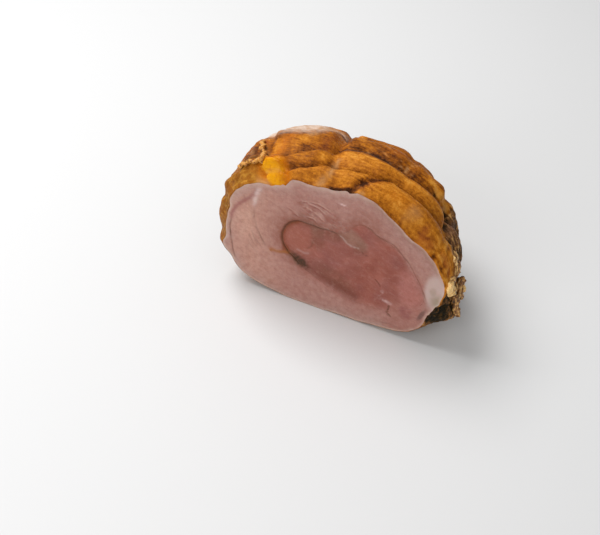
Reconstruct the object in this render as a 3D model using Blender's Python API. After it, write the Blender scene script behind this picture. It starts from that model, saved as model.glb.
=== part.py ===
"""Rolled veal roast, cut across at one end and lying on its flat underside.

Two solids: the browned outer roll, which is wrapped round, and the darker inner roll, which runs
through it from the cut face to the far end. Metres, +Z up. The cut face looks along -Y, and the
origin ends up under the middle of the roast, on the surface that it lies on.
"""

import math
import random

import bmesh
import bpy
from mathutils import Matrix, Vector, noise

# Main sizes of the roast.
LENGTH = 0.1135  # cut face to far tip
HALF_WIDTH = 0.0903
RISE = 0.0818  # widest line up to the top of the crust
DROP = 0.0460  # widest line down to the surface that the roast lies on
AXIS_SKEW = 0.11  # sideways drift of the roast's axis for each metre behind the cut
DOME_START = 0.0215  # depth at which the far end begins to round off
LEFT_DOME_POWER = 2.23  # superellipse powers of the far dome: higher is blunter
RIGHT_DOME_POWER = 1.94
RISE_POWER = 1.88
DROP_POWER = 3.0
FLAT_SINK = 0.0020  # how far the underside is pressed flat

# Superellipse powers of a section's shoulders, at the cut and a little way behind it.
LEFT_AT_CUT, LEFT_BEHIND = 2.45, 2.90
RIGHT_AT_CUT, RIGHT_BEHIND = 1.85, 2.20
UNDER_POWER = 2.80
SHOULDER_REACH = 0.012  # depth at which the shoulders have their full shape

# Where the net's rings ran: degrees round the section, and millimetres behind the cut.
RINGS = (
    ((0, 27), (44, 25.5), (60, 23.5), (76, 19), (88, 17), (97, 16.5), (107, 9.5), (118, 5),
     (131, 5), (150, 12), (180, 18), (230, 22), (300, 24)),
    ((0, 46), (44, 41), (60, 41), (69, 43), (83, 47.5), (92, 44), (102, 34), (110, 26),
     (119, 18), (131, 19), (150, 32), (180, 39), (230, 43), (300, 45)),
    ((0, 67), (44, 64), (60, 63), (76, 67), (90, 68), (106, 73), (117, 63), (126, 54), (136, 48),
     (150, 53), (180, 61), (230, 65), (300, 66)),
    ((0, 87), (44, 85), (60, 84), (76, 87), (90, 88), (106, 90), (120, 84), (136, 75),
     (150, 78), (180, 83), (230, 86), (300, 87)),
)
RING_GROOVE = 0.0062  # depth of a ring's groove, and of the crust's edge at the cut
PILLOW_SHARE = 0.30  # height of the crust between two rings, for its width
CREST_PLACE = 1.9  # above 1 moves each pillow's crest away from the cut
PILLOW_FULLNESS = 0.62  # below 1 makes the pillows round and the grooves narrow
UNDER_RELIEF = 0.25  # share of the relief that is left on the pressed underside
UNDER_START, UNDER_END = 0.35, 0.75  # slope, from side to bottom, over which the relief fades
RELIEF_FADE = 1.4  # the relief fades near the tip, where the section shrinks

# Strings along the roast: degrees at the cut and far behind it, grooves at both, width.
STRINGS = (
    (93, 99, 0.0014, 0.0085, 0.0048),
    (128, 132, 0.0016, 0.0030, 0.0040),
    (34, 38, 0.0010, 0.0050, 0.0055),
    (66, 60, 0.0000, 0.0022, 0.0050),
    (160, 157, 0.0016, 0.0030, 0.0050),
    (196, 199, 0.0010, 0.0026, 0.0050),
    (2, -3, 0.0010, 0.0030, 0.0050),
)
STRING_DEEPENS = 0.070  # depth behind the cut at which a string's groove is at its deepest
STRING_SWAY = 1.2  # degrees that a string wanders to each side
STRING_SWAY_RATE = 90  # radians of that wander for each metre

# Single swellings and dents of the crust: degrees, depth behind the cut, radius, height.
SWELLINGS = (
    (120, 0.0065, 0.0085, 0.0042),
    (192, 0.0090, 0.0140, 0.0035),
    (-22, 0.0150, 0.0130, 0.0050),
    (113, 0.0000, 0.0110, -0.0035),
    (48, 0.0640, 0.0110, 0.0030),
)
UNEVEN_SCALE = 0.024
UNEVEN_HEIGHT = 0.0015

# The inner roll's outline at the cut, measured from its own centre: degrees and radius.
CORE_CENTRE = (0.0180, 0.0520)  # across the face from the roast's middle, and up
CORE_OUTLINE = ((8, 0.0477), (25, 0.0434), (42, 0.0433), (56, 0.0413), (70, 0.0404), (79, 0.0428),
                (86, 0.0430), (93, 0.0403), (101, 0.0345), (110, 0.0320), (120, 0.0325),
                (134, 0.0385), (142, 0.0455), (149, 0.0530), (158, 0.0568), (170, 0.0572),
                (180, 0.0545), (190, 0.0475), (204, 0.0405), (222, 0.0340), (246, 0.0305),
                (270, 0.0315), (294, 0.0345), (316, 0.0410), (330, 0.0470), (350, 0.0542))
CORE_BACK_SHARE = 0.62  # size of the inner roll where it shows at the far end
ROLL_GAP = 0.0006
SEAM_ROUNDING = 0.0014  # the cut edges beside the seam sink back by this much
SEAM_SHARPNESS = 9  # how fast that sinking fades across the face
CORE_EDGE = 0.97  # share of the inner face at which its own edge begins
TIP_CLEARANCE = 0.0005

# Mesh density.
AROUND = 96
PILLOW_ROUNDS = (0.0, 0.10, 0.28, 0.50, 0.72, 0.89)
FACE_STEPS = 4
TUNNEL_STEPS = 6
CORE_FACE_STEPS = 3
CORE_BACK_STEPS = 4

# Knots where the net's knitting stuck to the fat: a row round the roast, and one along it.
KNOT_RADIUS = 0.0027
KNOT_ZIGZAG = 0.0012
KNOT_LIFT = 0.15  # share of its radius that a lump's middle stands off the crust
ROUND_ROW = (7, 149, -3.6, 0.0115, 0.0009)  # count, first angle and step, first depth and step
ALONG_ROW = (4, 125.5, 1.2, 0.0185, 0.0042)
ROUND_STRETCH = (1.35, 0.8, 1.0)  # round the roast, along it and outwards
ALONG_STRETCH = (0.85, 1.35, 1.0)

# Rough crags of fat and crust in the lower corner beside the cut.
CRAG_SEED = 7
CRAG_COUNT = 15
CRAG_ANGLES = (-34, 6)
CRAG_DEPTHS = (0.006, 0.032)
CRAG_SIZES = (0.0045, 0.0078)
CRAG_LIFTS = (-0.20, 0.25)
GOLDEN_STEP = 0.618
SMOOTH_LUMP, RAGGED_LUMP = 0.25, 0.60


def mix(first, second, share):
    return first + (second - first) * share


def smooth_step(value):
    value = min(max(value, 0.0), 1.0)
    return value * value * (3 - 2 * value)


def round_off(depth, power):
    """Share of the full size that is left at a depth: 1 at the dome's start and 0 at the tip."""
    share = min(max((depth - DOME_START) / (LENGTH - DOME_START), 0.0), 1.0)
    return (1.0 - share ** power) ** (1.0 / power)


def dome_power(angle):
    return mix(LEFT_DOME_POWER, RIGHT_DOME_POWER, (1 + math.cos(angle)) / 2)


def unit_outline(angle, depth):
    """A point on the section's outline, in half widths and half heights."""
    across, up = math.cos(angle), math.sin(angle)
    behind = smooth_step(depth / SHOULDER_REACH)
    left = mix(LEFT_AT_CUT, LEFT_BEHIND, behind)
    right = mix(RIGHT_AT_CUT, RIGHT_BEHIND, behind)
    upper = (1 + math.tanh(3 * up)) / 2
    power = mix(UNDER_POWER, mix(left, right, (1 + across) / 2), upper)
    radius = (abs(across) ** power + abs(up) ** power) ** (-1 / power)
    return radius * across, radius * up


def ring_depth(ring, angle):
    """How far behind the cut a ring's groove runs at an angle, eased between its marks."""
    degrees = math.degrees(angle) % 360
    marks = RINGS[ring] + ((360, RINGS[ring][0][1]),)
    for (start, first), (end, second) in zip(marks, marks[1:]):
        if degrees <= end:
            return 0.001 * mix(first, second, smooth_step((degrees - start) / (end - start)))
    return 0.001 * marks[-1][1]


def pillow_ends(pillow, angle):
    """The depths at which the crust's pillow between two rings starts and ends."""
    start = ring_depth(pillow - 1, angle) if pillow > 0 else 0.0
    end = ring_depth(pillow, angle) if pillow < len(RINGS) else LENGTH
    return start, end


def ring_relief(angle, depth):
    """Height of the crust over the rings' grooves, as a negative height below the crests."""
    for pillow in range(len(RINGS) + 1):
        start, end = pillow_ends(pillow, angle)
        if depth <= end or pillow == len(RINGS):
            place = min(max((depth - start) / (end - start), 0.0), 1.0)
            swell = math.sin(math.pi * place ** CREST_PLACE) ** PILLOW_FULLNESS
            return -RING_GROOVE + min(RING_GROOVE, PILLOW_SHARE * (end - start)) * swell
    return 0.0


def along_crust(angle, degrees):
    """Distance round the crust between an angle and a place given in degrees."""
    turn = (angle - math.radians(degrees) + math.pi) % (2 * math.pi) - math.pi
    return turn * HALF_WIDTH


def net_relief(angle, depth):
    """How far the crust lies below the smooth shape that its crests reach."""
    relief = ring_relief(angle, depth)
    for start, end, at_cut, behind, width in STRINGS:
        share = smooth_step(depth / STRING_DEEPENS)
        place = mix(start, end, share) + STRING_SWAY * math.sin(STRING_SWAY_RATE * depth + start)
        groove = mix(at_cut, behind, share)
        relief -= groove * math.exp(-(along_crust(angle, place) / width) ** 2)
    for degrees, place, radius, height in SWELLINGS:
        distance = math.hypot(along_crust(angle, degrees), depth - place)
        relief += height * math.exp(-(distance / radius) ** 2)
    under = smooth_step((-math.sin(angle) - UNDER_START) / (UNDER_END - UNDER_START))
    return relief * mix(1.0, UNDER_RELIEF, under)


def crust_point(angle, depth):
    """A point on the roast's outside, at an angle round the section and a depth behind the cut."""
    across, up = unit_outline(angle, depth)
    rise = RISE if up > 0 else DROP + FLAT_SINK
    up_power = RISE_POWER if up > 0 else DROP_POWER
    fullness = round_off(depth, dome_power(angle))
    uneven = noise.noise(Vector((across * HALF_WIDTH, depth, up * rise)) / UNEVEN_SCALE)
    relief = (net_relief(angle, depth) + uneven * UNEVEN_HEIGHT) * min(1.0, fullness * RELIEF_FADE)
    x = -AXIS_SKEW * depth + (HALF_WIDTH * fullness + relief) * across
    z = DROP + (rise * round_off(depth, up_power) + relief) * up
    return Vector((x, depth, max(z, 0.0)))


def core_radius(angle):
    """The inner roll's radius at an angle, on a Catmull-Rom curve through the outline's points."""
    degrees = math.degrees(angle) % 360
    count = len(CORE_OUTLINE)
    after = next((i for i in range(count) if CORE_OUTLINE[i][0] > degrees), 0)
    around = [CORE_OUTLINE[(after + k) % count] for k in (-2, -1, 0, 1)]
    start, end = around[1][0], around[2][0]
    t = ((degrees - start) % 360) / ((end - start) % 360)
    a, b, c, d = (radius for _, radius in around)
    bend = 2 * a - 5 * b + 4 * c - d
    twist = 3 * (b - c) + d - a
    return b + 0.5 * t * (c - a + t * (bend + t * twist))


def face_point(angle, share):
    """A point on the cut face: share 0 is the seam round the inner roll, and 1 the crust's edge."""
    rim = crust_point(angle, 0.0)
    centre = Vector((CORE_CENTRE[0], 0.0, CORE_CENTRE[1]))
    towards = rim - centre
    direction = math.atan2(towards.z, towards.x)
    seam = centre + towards.normalized() * core_radius(direction)
    return seam.lerp(rim, share)


def back_share(angle):
    """Where the seam meets the far dome, as a share of the dome's section."""
    middle = Vector((0.0, 0.0, DROP))
    seam = face_point(angle, 0.0) - middle
    rim = crust_point(angle, 0.0) - middle
    return CORE_BACK_SHARE * seam.length / rim.length


def dome_depth(share, angle):
    """Depth at which the dome's section has shrunk to a share of its full width."""
    power = dome_power(angle)
    left = (1.0 - share ** power) ** (1.0 / power)
    return DOME_START + (LENGTH - DOME_START) * left


def tunnel_point(angle, share):
    """A point on the seam's wall: share 0 at the cut face, and 1 at the far end."""
    front = face_point(angle, 0.0)
    back = crust_point(angle, dome_depth(back_share(angle), angle))
    return front.lerp(back, share)


def outer_stations():
    """The closed loop that a slice of the outer roll follows: crust, far end, tunnel, cut face."""
    stations = []
    for pillow in range(len(RINGS) + 1):
        for share in PILLOW_ROUNDS:
            stations.append(("crust", pillow + share))
    for i in range(TUNNEL_STEPS):
        stations.append(("tunnel", 1 - i / TUNNEL_STEPS))
    for i in range(FACE_STEPS):
        stations.append(("face", i / FACE_STEPS))
    return stations


def outer_point(kind, share, angle):
    """A point on the outer roll's surface."""
    if kind == "crust":
        start, end = pillow_ends(int(share), angle)
        if int(share) == len(RINGS):
            end = dome_depth(back_share(angle), angle)
        return crust_point(angle, mix(start, end, share % 1))
    if kind == "tunnel":
        return tunnel_point(angle, share)
    point = face_point(angle, share)
    point.y += SEAM_ROUNDING * math.exp(-(share * SEAM_SHARPNESS) ** 2)
    return point


def core_point(kind, share, angle):
    """A point on the inner roll, kept one gap inside the seam's wall."""
    axis_front = Vector((CORE_CENTRE[0], 0.0, CORE_CENTRE[1]))
    axis_back = Vector((-AXIS_SKEW * LENGTH, LENGTH - TIP_CLEARANCE, DROP))
    if kind == "side":
        wall = tunnel_point(angle, share)
        axis = axis_front.lerp(axis_back, wall.y / LENGTH)
        inward = Vector((axis.x - wall.x, 0.0, axis.z - wall.z)).normalized()
        point = wall + inward * ROLL_GAP
        if share == 0:
            point.y += SEAM_ROUNDING
        return point
    if kind == "face":
        rim = face_point(angle, 0.0)
        rim += (axis_front - rim).normalized() * ROLL_GAP
        return axis_front.lerp(rim, share)
    shrink = back_share(angle) * share
    return crust_point(angle, dome_depth(shrink, angle))


def new_object(name, mesh_data, collection):
    made = bpy.data.objects.new(name, mesh_data)
    collection.objects.link(made)
    return made


def add_material(name, colour, roughness):
    material = bpy.data.materials.new(name)
    material.use_nodes = True
    shader = material.node_tree.nodes["Principled BSDF"]
    shader.inputs["Base Color"].default_value = (*colour, 1.0)
    shader.inputs["Roughness"].default_value = roughness
    return material


def finish_mesh(made, material):
    """Outward faces, smooth shading and one material."""
    work = bmesh.new()
    work.from_mesh(made.data)
    bmesh.ops.recalc_face_normals(work, faces=work.faces)
    work.to_mesh(made.data)
    work.free()
    made.data.materials.clear()
    made.data.materials.append(material)
    made.data.shade_smooth()
    made.data.set_sharp_from_angle(angle=math.radians(40))


def build_outer_roll(collection):
    """A ring primitive whose rounds become the slices of the outer roll."""
    stations = outer_stations()
    ring_radius, tube_radius = 1.0, 0.3
    bpy.ops.mesh.primitive_torus_add(major_segments=AROUND, minor_segments=len(stations),
                                     major_radius=ring_radius, minor_radius=tube_radius)
    made = bpy.context.object
    made.name = made.data.name = "outer_roll"
    for vertex in made.data.vertices:
        x, y, z = vertex.co
        angle = math.atan2(y, x)
        turn = math.atan2(z, math.hypot(x, y) - ring_radius) / (2 * math.pi)
        kind, share = stations[round(turn * len(stations)) % len(stations)]
        vertex.co = outer_point(kind, share, angle)
    for old in list(made.users_collection):
        old.objects.unlink(made)
    collection.objects.link(made)
    return made


def build_inner_roll(collection):
    """A ball primitive whose rounds become the inner roll's cut face, side and far end."""
    rounds = [("face", (i + 1) / (CORE_FACE_STEPS + 1)) for i in range(CORE_FACE_STEPS)]
    rounds.append(("face", CORE_EDGE))
    rounds += [("side", i / TUNNEL_STEPS) for i in range(TUNNEL_STEPS + 1)]
    rounds += [("back", 1 - (i + 1) / (CORE_BACK_STEPS + 1)) for i in range(CORE_BACK_STEPS)]
    mesh_data = bpy.data.meshes.new("inner_roll")
    work = bmesh.new()
    bmesh.ops.create_uvsphere(work, u_segments=AROUND, v_segments=len(rounds) + 1, radius=1.0)
    for vertex in work.verts:
        x, y, z = vertex.co
        place = round(math.acos(max(-1.0, min(1.0, z))) / math.pi * (len(rounds) + 1))
        angle = math.atan2(y, x)
        if place == 0:
            vertex.co = core_point("face", 0.0, 0.0)
        elif place == len(rounds) + 1:
            vertex.co = (-AXIS_SKEW * LENGTH, LENGTH, DROP)
        else:
            kind, share = rounds[place - 1]
            vertex.co = core_point(kind, share, angle)
    work.to_mesh(mesh_data)
    work.free()
    return new_object("inner_roll", mesh_data, collection)


def surface_frame(angle, depth):
    """A point on the crust with its outward normal and the direction along the roast."""
    step = 0.002
    here = crust_point(angle, depth)
    along = (crust_point(angle, depth + step) - here).normalized()
    around = (crust_point(angle + step / HALF_WIDTH, depth) - here).normalized()
    normal = along.cross(around).normalized()
    if normal.dot(here - Vector((0.0, depth, DROP))) < 0:
        normal = -normal
    return here, normal, along


def add_lump(collection, place, size, stretch, lift, seed, ragged):
    """One rough lump, set into the crust: a ball primitive, stretched and roughened."""
    angle, depth = math.radians(place[0]), place[1]
    here, normal, along = surface_frame(angle, depth)
    side = normal.cross(along).normalized()
    mesh_data = bpy.data.meshes.new("lump")
    work = bmesh.new()
    bmesh.ops.create_icosphere(work, subdivisions=2, radius=size)
    for vertex in work.verts:
        rough = noise.noise(vertex.co / (size * 0.6) + Vector((seed * 3.7, 0, 0)))
        vertex.co *= 1 + ragged * rough
    turn = Matrix((side * stretch[0], along * stretch[1], normal * stretch[2])).transposed()
    bmesh.ops.transform(work, matrix=turn.to_4x4(), verts=work.verts)
    bmesh.ops.translate(work, vec=here + normal * lift * size, verts=work.verts)
    work.to_mesh(mesh_data)
    work.free()
    new_object("lump", mesh_data, collection)


def add_knots(collection):
    """The row of knots round the roast, zigzagging like knitting, and the short row along it."""
    count, angle, angle_step, depth, depth_step = ROUND_ROW
    for i in range(count):
        place = (angle + angle_step * i, depth + depth_step * i + KNOT_ZIGZAG * (-1) ** i)
        add_lump(collection, place, KNOT_RADIUS, ROUND_STRETCH, KNOT_LIFT, i, SMOOTH_LUMP)
    count, angle, angle_sway, depth, depth_step = ALONG_ROW
    for i in range(count):
        place = (angle + angle_sway * (-1) ** i, depth + depth_step * i)
        size = KNOT_RADIUS * (1 + 0.12 * i)
        add_lump(collection, place, size, ALONG_STRETCH, KNOT_LIFT, 20 + i, SMOOTH_LUMP)


def add_crags(collection):
    """Crags spread round and along their corner, each of its own size and shape."""
    draw = random.Random(CRAG_SEED)
    for i in range(CRAG_COUNT):
        place = (mix(*CRAG_ANGLES, (i + draw.random()) / CRAG_COUNT),
                 mix(*CRAG_DEPTHS, i * GOLDEN_STEP % 1))
        size = draw.uniform(*CRAG_SIZES)
        stretch = (draw.uniform(0.8, 1.3), draw.uniform(0.7, 1.2), draw.uniform(0.7, 1.0))
        add_lump(collection, place, size, stretch, draw.uniform(*CRAG_LIFTS), 40 + i, RAGGED_LUMP)


def fuse(made, collection):
    """Joins every lump in a collection to the outer roll, then removes the lumps."""
    union = made.modifiers.new("fused lumps", "BOOLEAN")
    union.operation = "UNION"
    union.operand_type = "COLLECTION"
    union.collection = collection
    union.solver = "EXACT"
    bpy.context.view_layer.objects.active = made
    bpy.ops.object.modifier_apply(modifier=union.name)
    for lump in list(collection.objects):
        bpy.data.objects.remove(lump)
    bpy.data.collections.remove(collection)


def stand_on_origin(pieces):
    """Moves the pieces so that the origin is under the middle of the roast, on its underside."""
    points = [v.co for piece in pieces for v in piece.data.vertices]
    low = Vector(min(p[i] for p in points) for i in range(3))
    high = Vector(max(p[i] for p in points) for i in range(3))
    shift = Vector((-(low.x + high.x) / 2, -(low.y + high.y) / 2, -low.z))
    for piece in pieces:
        piece.data.transform(Matrix.Translation(shift))


def main():
    for old in list(bpy.data.objects):
        bpy.data.objects.remove(old)
    roast = bpy.data.collections.new("rolled_veal_roast")
    lumps = bpy.data.collections.new("lumps")
    bpy.context.scene.collection.children.link(roast)
    bpy.context.scene.collection.children.link(lumps)

    outer = build_outer_roll(roast)
    add_knots(lumps)
    add_crags(lumps)
    fuse(outer, lumps)
    inner = build_inner_roll(roast)

    finish_mesh(outer, add_material("browned_crust", (0.52, 0.20, 0.035), 0.45))
    finish_mesh(inner, add_material("roast_veal", (0.45, 0.19, 0.16), 0.40))
    stand_on_origin([outer, inner])


main()
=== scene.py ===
# %% [markdown]
# # A rolled veal roast
# A boned piece of veal is rolled up, pulled into an elastic net and roasted. Once it is cold the net
# comes off and leaves its grooves in the golden crust. This one has been cut across, so its front
# shows pale meat wound round a darker roll.
#
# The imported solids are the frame. They have the right size and form but few faces, so the looks are
# made here: a crust, a cut face and an inner roll with fine relief, the knots and crags that stuck
# to the crust, and a material for each.

import math

import bpy
import numpy as np
from mathutils import Euler, Matrix, Vector, noise


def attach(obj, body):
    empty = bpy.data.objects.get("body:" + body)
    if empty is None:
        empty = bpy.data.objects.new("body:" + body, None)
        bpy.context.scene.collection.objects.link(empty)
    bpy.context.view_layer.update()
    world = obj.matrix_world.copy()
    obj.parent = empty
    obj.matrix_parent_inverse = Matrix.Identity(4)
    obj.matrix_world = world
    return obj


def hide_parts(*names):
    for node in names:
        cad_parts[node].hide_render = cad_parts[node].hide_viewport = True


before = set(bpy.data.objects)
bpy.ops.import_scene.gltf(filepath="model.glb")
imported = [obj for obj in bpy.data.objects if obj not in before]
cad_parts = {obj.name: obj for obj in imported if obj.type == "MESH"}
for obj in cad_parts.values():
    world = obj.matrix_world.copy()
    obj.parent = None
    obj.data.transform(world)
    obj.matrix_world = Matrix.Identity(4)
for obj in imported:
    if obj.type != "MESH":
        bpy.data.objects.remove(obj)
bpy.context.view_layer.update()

# %% [markdown]
# ## Floor, camera and light
# In a studio it would stand on a pale sweep under one big soft box. The soft box is high on the left
# and a little behind, so that it draws a sheen along each ridge of the crust. A weaker panel near
# the camera fills the cut face, and a white world does the rest.
#
# The camera looks down at about 45 degrees through a fairly long lens, which keeps the roast's
# proportions natural.

# %% Floor
FLOOR_SIZE = 6.0
FLOOR_GREY = 0.665

bpy.ops.object.select_all(action="DESELECT")
bpy.ops.mesh.primitive_grid_add(x_subdivisions=2, y_subdivisions=2, size=FLOOR_SIZE)
floor = bpy.context.object
floor.name = "pale_floor"
floor_material = bpy.data.materials.new("pale floor")
floor_material.use_nodes = True
floor_shader = floor_material.node_tree.nodes["Principled BSDF"]
floor_shader.inputs["Base Color"].default_value = (FLOOR_GREY, FLOOR_GREY, FLOOR_GREY, 1)
floor_shader.inputs["Roughness"].default_value = 0.65
floor.data.materials.append(floor_material)
print("floor:", FLOOR_SIZE, "m wide")

# %% Camera
CAMERA_PLACE = (0.1622, -0.5124, 0.5157)
CAMERA_TURN = (45.69, -2.22, 24.47)  # degrees
CAMERA_LENS = 56.19

camera = bpy.data.objects.new("camera", bpy.data.cameras.new("camera"))
camera.location = CAMERA_PLACE
camera.rotation_euler = Euler([math.radians(turn) for turn in CAMERA_TURN])
camera.data.lens = CAMERA_LENS
camera.data.clip_start = 0.02
bpy.context.scene.collection.objects.link(camera)
bpy.context.scene.camera = camera
print("camera lens:", camera.data.lens, "mm")

# %% Light
WORLD_WHITE = 0.42


def add_soft_box(name, place, target, size, power):
    lamp = bpy.data.lights.new(name, "AREA")
    lamp.shape = "RECTANGLE"
    lamp.size, lamp.size_y = size
    lamp.energy = power
    holder = bpy.data.objects.new(name, lamp)
    holder.location = place
    aim = Vector(target) - Vector(place)
    holder.rotation_euler = aim.to_track_quat("-Z", "Y").to_euler()
    bpy.context.scene.collection.objects.link(holder)


MIDDLE_OF_ROAST = (0, 0, 0.06)
add_soft_box("key box", (-0.70, 0.15, 1.20), MIDDLE_OF_ROAST, (0.9, 0.7), 18)
add_soft_box("fill panel", (-0.35, -1.30, 0.75), MIDDLE_OF_ROAST, (1.1, 0.9), 8)

world = bpy.data.worlds.new("white room")
world.use_nodes = True
world.node_tree.nodes["Background"].inputs["Color"].default_value = (1, 1, 1, 1)
world.node_tree.nodes["Background"].inputs["Strength"].default_value = WORLD_WHITE
bpy.context.scene.world = world
bpy.context.scene.view_settings.view_transform = "Standard"
print("world strength:", WORLD_WHITE)

# %% [markdown]
# ## The body's formula
# Every section across the roast is a superellipse: squarer than an ellipse, rounder than a box. It
# shrinks towards the far end along another superellipse. The net's marks are taken off it: rings
# round the roast with a pillow of crust between each two, and strings along it.
#
# A loft by hand through edit mode would need hundreds of control rings, so the surface is a formula
# and a primitive's points are moved onto it. All lengths are in millimetres until the very end. An
# angle runs round the section from the right side (0) over the top (90), and a depth runs from the
# cut (0) to the far tip.

# %% Sizes of the body
MM = 0.001
LENGTH = 113.5
HALF_WIDTH = 90.3
RISE, DROP = 81.8, 46.0
AXIS_SKEW = 0.11
DOME_START = 21.5
LEFT_DOME_POWER, RIGHT_DOME_POWER = 2.23, 1.94
RISE_POWER, DROP_POWER = 1.88, 3.0
FLAT_SINK = 2.0
LEFT_AT_CUT, LEFT_BEHIND = 2.45, 2.90
RIGHT_AT_CUT, RIGHT_BEHIND = 1.85, 2.20
UNDER_POWER = 2.80
SHOULDER_REACH = 12.0

inner_points = [v.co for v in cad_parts["inner_roll"].data.vertices]
far_tip = max(inner_points, key=lambda point: point.y)
SHIFT = np.array([far_tip.x / MM + AXIS_SKEW * LENGTH, far_tip.y / MM - LENGTH, 0.0])
print("the cut's middle lies at", np.round(SHIFT, 2), "mm")


def mix(first, second, share):
    return first + (second - first) * share


def smooth_step(value):
    value = np.clip(value, 0.0, 1.0)
    return value * value * (3 - 2 * value)


def between(value, start, start_fade, end, end_fade):
    """1 from start to end, rising over the first fade and falling over the second."""
    return smooth_step((value - start) / start_fade) * smooth_step((end - value) / end_fade)


def bell(distance, width):
    """1 in the middle, and fading to nothing over about twice the width."""
    return np.exp(-(distance / width) ** 2)


def round_off(depth, power):
    share = np.clip((depth - DOME_START) / (LENGTH - DOME_START), 0.0, 1.0)
    return (1.0 - share ** power) ** (1.0 / power)


def dome_power(angle):
    return mix(LEFT_DOME_POWER, RIGHT_DOME_POWER, (1 + np.cos(angle)) / 2)


def unit_outline(angle, depth):
    across, up = np.cos(angle), np.sin(angle)
    behind = smooth_step(depth / SHOULDER_REACH)
    left = mix(LEFT_AT_CUT, LEFT_BEHIND, behind)
    right = mix(RIGHT_AT_CUT, RIGHT_BEHIND, behind)
    upper = (1 + np.tanh(3 * up)) / 2
    power = mix(UNDER_POWER, mix(left, right, (1 + across) / 2), upper)
    radius = (np.abs(across) ** power + np.abs(up) ** power) ** (-1 / power)
    return radius * across, radius * up


# %% [markdown]
# ## The net's marks
# An elastic net leaves two kinds of marks. Its rings bite in all round, and the crust swells up
# between them like pillows, steeper on the far side. Its strings run along the roast and bite less,
# except for the seam at the top, where the rolled meat meets itself. On the left the rings run
# askew and bite less, because the net was pulled over at an angle and was slack there.
#
# The rest is how a soft roast gives way. It swells here and there, its rim curls in or out at the
# cut, a fold overhangs beside the seam, and a few round lumps of fat set where it ran out. Tables
# of places say where, because no rule would put them where they lie on this roast.

# %% Rings and strings
# Each ring's depth at a few degrees round the roast.
RINGS = (
    ((0, 25), (44, 20.5), (60, 20.5), (69, 21.5), (76, 19), (88, 17), (97, 16.5), (107, 9.5), (118, 5),
     (131, 5), (150, 12), (180, 18), (230, 22), (300, 24)),
    ((0, 46), (44, 39), (60, 38.5), (69, 40.5), (83, 43.5), (92, 41), (102, 32.5), (110, 25),
     (119, 17.5), (131, 19), (150, 32), (180, 39), (230, 43), (300, 45)),
    ((0, 67), (44, 64), (60, 63), (76, 67), (90, 68), (106, 73), (117, 63), (126, 54), (136, 48),
     (150, 53), (180, 61), (230, 65), (300, 66)),
    ((0, 87), (44, 85), (60, 84), (76, 87), (90, 88), (106, 90), (120, 84), (136, 75),
     (150, 78), (180, 83), (230, 86), (300, 87)),
)
RING_GROOVE = 6.2
PILLOW_SHARE, CREST_PLACE, PILLOW_FULLNESS = 0.30, 1.45, 0.62
SLACK_BITE, SLACK_BITE_SPAN = 0.62, (120, 12, 215, 20)
UNDER_RELIEF, UNDER_START, UNDER_END = 0.25, 0.35, 0.75
RELIEF_FADE = 1.4
# Each string's degrees at the cut and behind, how deep it bites at the cut and behind, and its width.
STRINGS = (
    (93, 99, 1.4, 8.5, 4.8),
    (128, 132, 1.6, 3.0, 4.0),
    (34, 38, 1.0, 5.0, 5.5),
    (66, 60, 0.0, 2.2, 5.0),
    (160, 157, 1.6, 3.0, 5.0),
    (196, 199, 1.0, 2.6, 5.0),
    (2, -3, 1.0, 3.0, 5.0),
)
STRING_DEEPENS, STRING_SWAY, STRING_SWAY_RATE = 70.0, 1.2, 0.090
print("the net:", len(RINGS), "rings and", len(STRINGS), "strings")

# %% Swellings, rim, fold and set fat
# Place (degrees, depth), radius and height.
SWELLINGS = (
    (120, 6.5, 8.5, 1.4),
    (12, 25.0, 9.0, 1.8),
    (196, 6.0, 12.0, 4.8),
    (-23, 17.0, 12.5, 6.2),
    (59, 63.0, 11.0, 3.2),
    (173, 14.0, 16.0, 4.0),
    (149, 24.0, 10.0, -1.2),
    (152, 8.0, 11.0, 2.8),
    (126, 52.0, 10.0, 2.2),
    (70, 66.0, 12.0, 2.2),
    (42, 54.0, 9.0, 3.2),
)
# How far the rim stands out at the cut, for a few degrees round the roast.
RIM_CURL = ((-58, -1.0), (-48, -1.2), (-38, -2.2), (-29, -4.5), (-22, -5.5), (-16, -4.5), (-5, -3.0),
            (3, 1.0), (8, 2.3), (15, 3.1), (22, 1.6), (30, 1.6), (36, 1.6), (40, -0.6), (44, -3.4),
            (49, -4.4), (57, -3.4), (62, -2.4), (66, -0.6), (71, 1.2), (79, 1.2), (83, 0.3),
            (88, -2.6), (94, -2.8), (100, -5.0), (105, -4.2), (109, -2.0), (113, -1.6), (117, -6.5),
            (121, -10.6), (125, -10.0), (128, -6.2), (132, -6.0), (136, -5.6), (141, -3.8), (147, -2.6),
            (155, -3.0), (161, -3.2), (168, -5.4), (176, -5.2), (190, -3.0), (215, 0), (270, 0))
CURL_REACH = 7.5
FOLD = ((83, -1), (81, 5), (76.5, 11), (72.5, 16), (69, 20))
FOLD_DEPTH, FOLD_WIDTH, FOLD_END_SHARE = 2.6, 2.0, 0.3
# Place (degrees, depth), radii round and along, and height.
FAT_LUMPS = (
    (122.2, 6.0, 9.4, 3.6, 5.4),
    (122.0, 1.9, 9.2, 2.5, 4.6),
    (119.5, 10.5, 4.6, 4.0, 2.4),
    (125.5, 9.6, 4.4, 3.0, 2.6),
    (121.5, 16.0, 4.6, 5.0, 1.6),
)
UNEVEN_SCALE, UNEVEN_HEIGHT = 24.0, 1.5

# %% Where a place lies in the net
def ring_depth(ring, angle):
    marks = np.array(RINGS[ring] + ((360, RINGS[ring][0][1]),), float)
    degrees = np.degrees(angle) % 360
    step = np.minimum(np.searchsorted(marks[1:, 0], degrees), len(marks) - 2)
    start, end = marks[step], marks[step + 1]
    share = smooth_step((degrees - start[..., 0]) / (end[..., 0] - start[..., 0]))
    return mix(start[..., 1], end[..., 1], share)


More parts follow.
